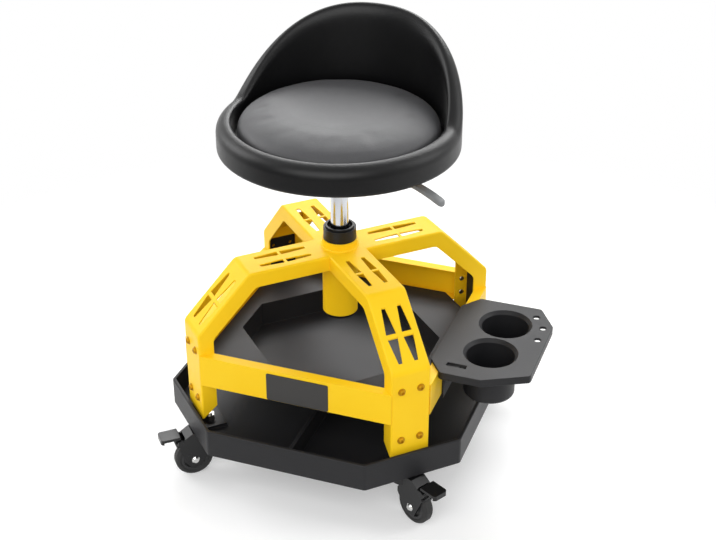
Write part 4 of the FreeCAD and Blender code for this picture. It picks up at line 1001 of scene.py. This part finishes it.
def makeFloor():
    floor = startPiece("studioFloor", bpy.ops.mesh.primitive_grid_add, size=studio["floorSize"],
                       x_subdivisions=studio["floorCuts"], y_subdivisions=studio["floorCuts"])
    material = bpy.data.materials.new("paintedSweep")
    material.use_nodes = True
    tree = material.node_tree
    tree.nodes.remove(tree.nodes["Principled BSDF"])
    place = addNode(tree, "ShaderNodeTexCoord").outputs["Object"]
    matt = addNode(tree, "ShaderNodeBsdfDiffuse", values={"Color": linear(studio["floorGrey"])})
    lift = addNode(tree, "ShaderNodeMath", {"operation": "MULTIPLY"}, {1: studio["floorLift"]}, {
        0: seenDirectly(tree)})
    glow = addNode(tree, "ShaderNodeEmission", links={"Strength": lift.outputs[0]})
    sweep = addNode(tree, "ShaderNodeAddShader", links={0: matt.outputs[0], 1: glow.outputs[0]})
    distance = addNode(tree, "ShaderNodeVectorMath", {"operation": "LENGTH"}, links={0: place})
    fade = addNode(tree, "ShaderNodeMapRange", {"interpolation_type": "SMOOTHSTEP"}, {
        "From Min": studio["fadeStart"], "From Max": studio["fadeEnd"]}, {
        "Value": distance.outputs["Value"]})
    clear = addNode(tree, "ShaderNodeBsdfTransparent")
    blend = addNode(tree, "ShaderNodeMixShader", links={
        "Fac": fade.outputs["Result"], 1: sweep.outputs[0], 2: clear.outputs[0]})
    tree.links.new(blend.outputs[0], tree.nodes["Material Output"].inputs["Surface"])
    floor.data.materials.append(material)


def makeWorld():
    # white as seen, dim as a light, and dimmer still on the side that the object is looked at from
    world = bpy.data.worlds.new("studio")
    scene.world = world
    world.use_nodes = True
    tree = world.node_tree
    tree.nodes.clear()
    strength = addNode(tree, "ShaderNodeMapRange", values={
        "To Min": studio["ambient"], "To Max": 1.0}, links={"Value": seenDirectly(tree)})
    way = addNode(tree, "ShaderNodeTexCoord").outputs["Generated"]
    aim = addNode(tree, "ShaderNodeSeparateXYZ", links={"Vector": way})
    room = addNode(tree, "ShaderNodeMapRange", {"interpolation_type": "SMOOTHSTEP"}, {
        "From Min": studio["frontEdge"][0], "From Max": studio["frontEdge"][1],
        "To Min": studio["frontShare"]}, {"Value": aim.outputs["Y"]})
    paths = addNode(tree, "ShaderNodeLightPath")
    seen = addNode(tree, "ShaderNodeMath", {"operation": "MAXIMUM"}, links={
        0: room.outputs["Result"], 1: paths.outputs["Is Camera Ray"]})
    level = addNode(tree, "ShaderNodeMath", {"operation": "MULTIPLY"}, links={
        0: strength.outputs["Result"], 1: seen.outputs[0]})
    light = addNode(tree, "ShaderNodeBackground", values={"Color": (1, 1, 1, 1)}, links={
        "Strength": level.outputs[0]})
    addNode(tree, "ShaderNodeOutputWorld", links={"Surface": light.outputs[0]})


def makeLamp(name, lamp):
    data = bpy.data.lights.new(name, "AREA")
    data.shape = "RECTANGLE"
    data.size, data.size_y = lamp["size"]
    data.energy = lamp["power"]
    light = bpy.data.objects.new(name, data)
    light.location = lamp["place"]
    facing = Vector(lamp["aim"]) - Vector(lamp["place"])
    light.rotation_euler = facing.to_track_quat("-Z", "Y").to_euler()
    scene.collection.objects.link(light)


makeFloor()
makeWorld()
for lampName, lamp in lamps.items():
    makeLamp(lampName, lamp)
scene.view_settings.view_transform = "Standard"
print("studio lit")
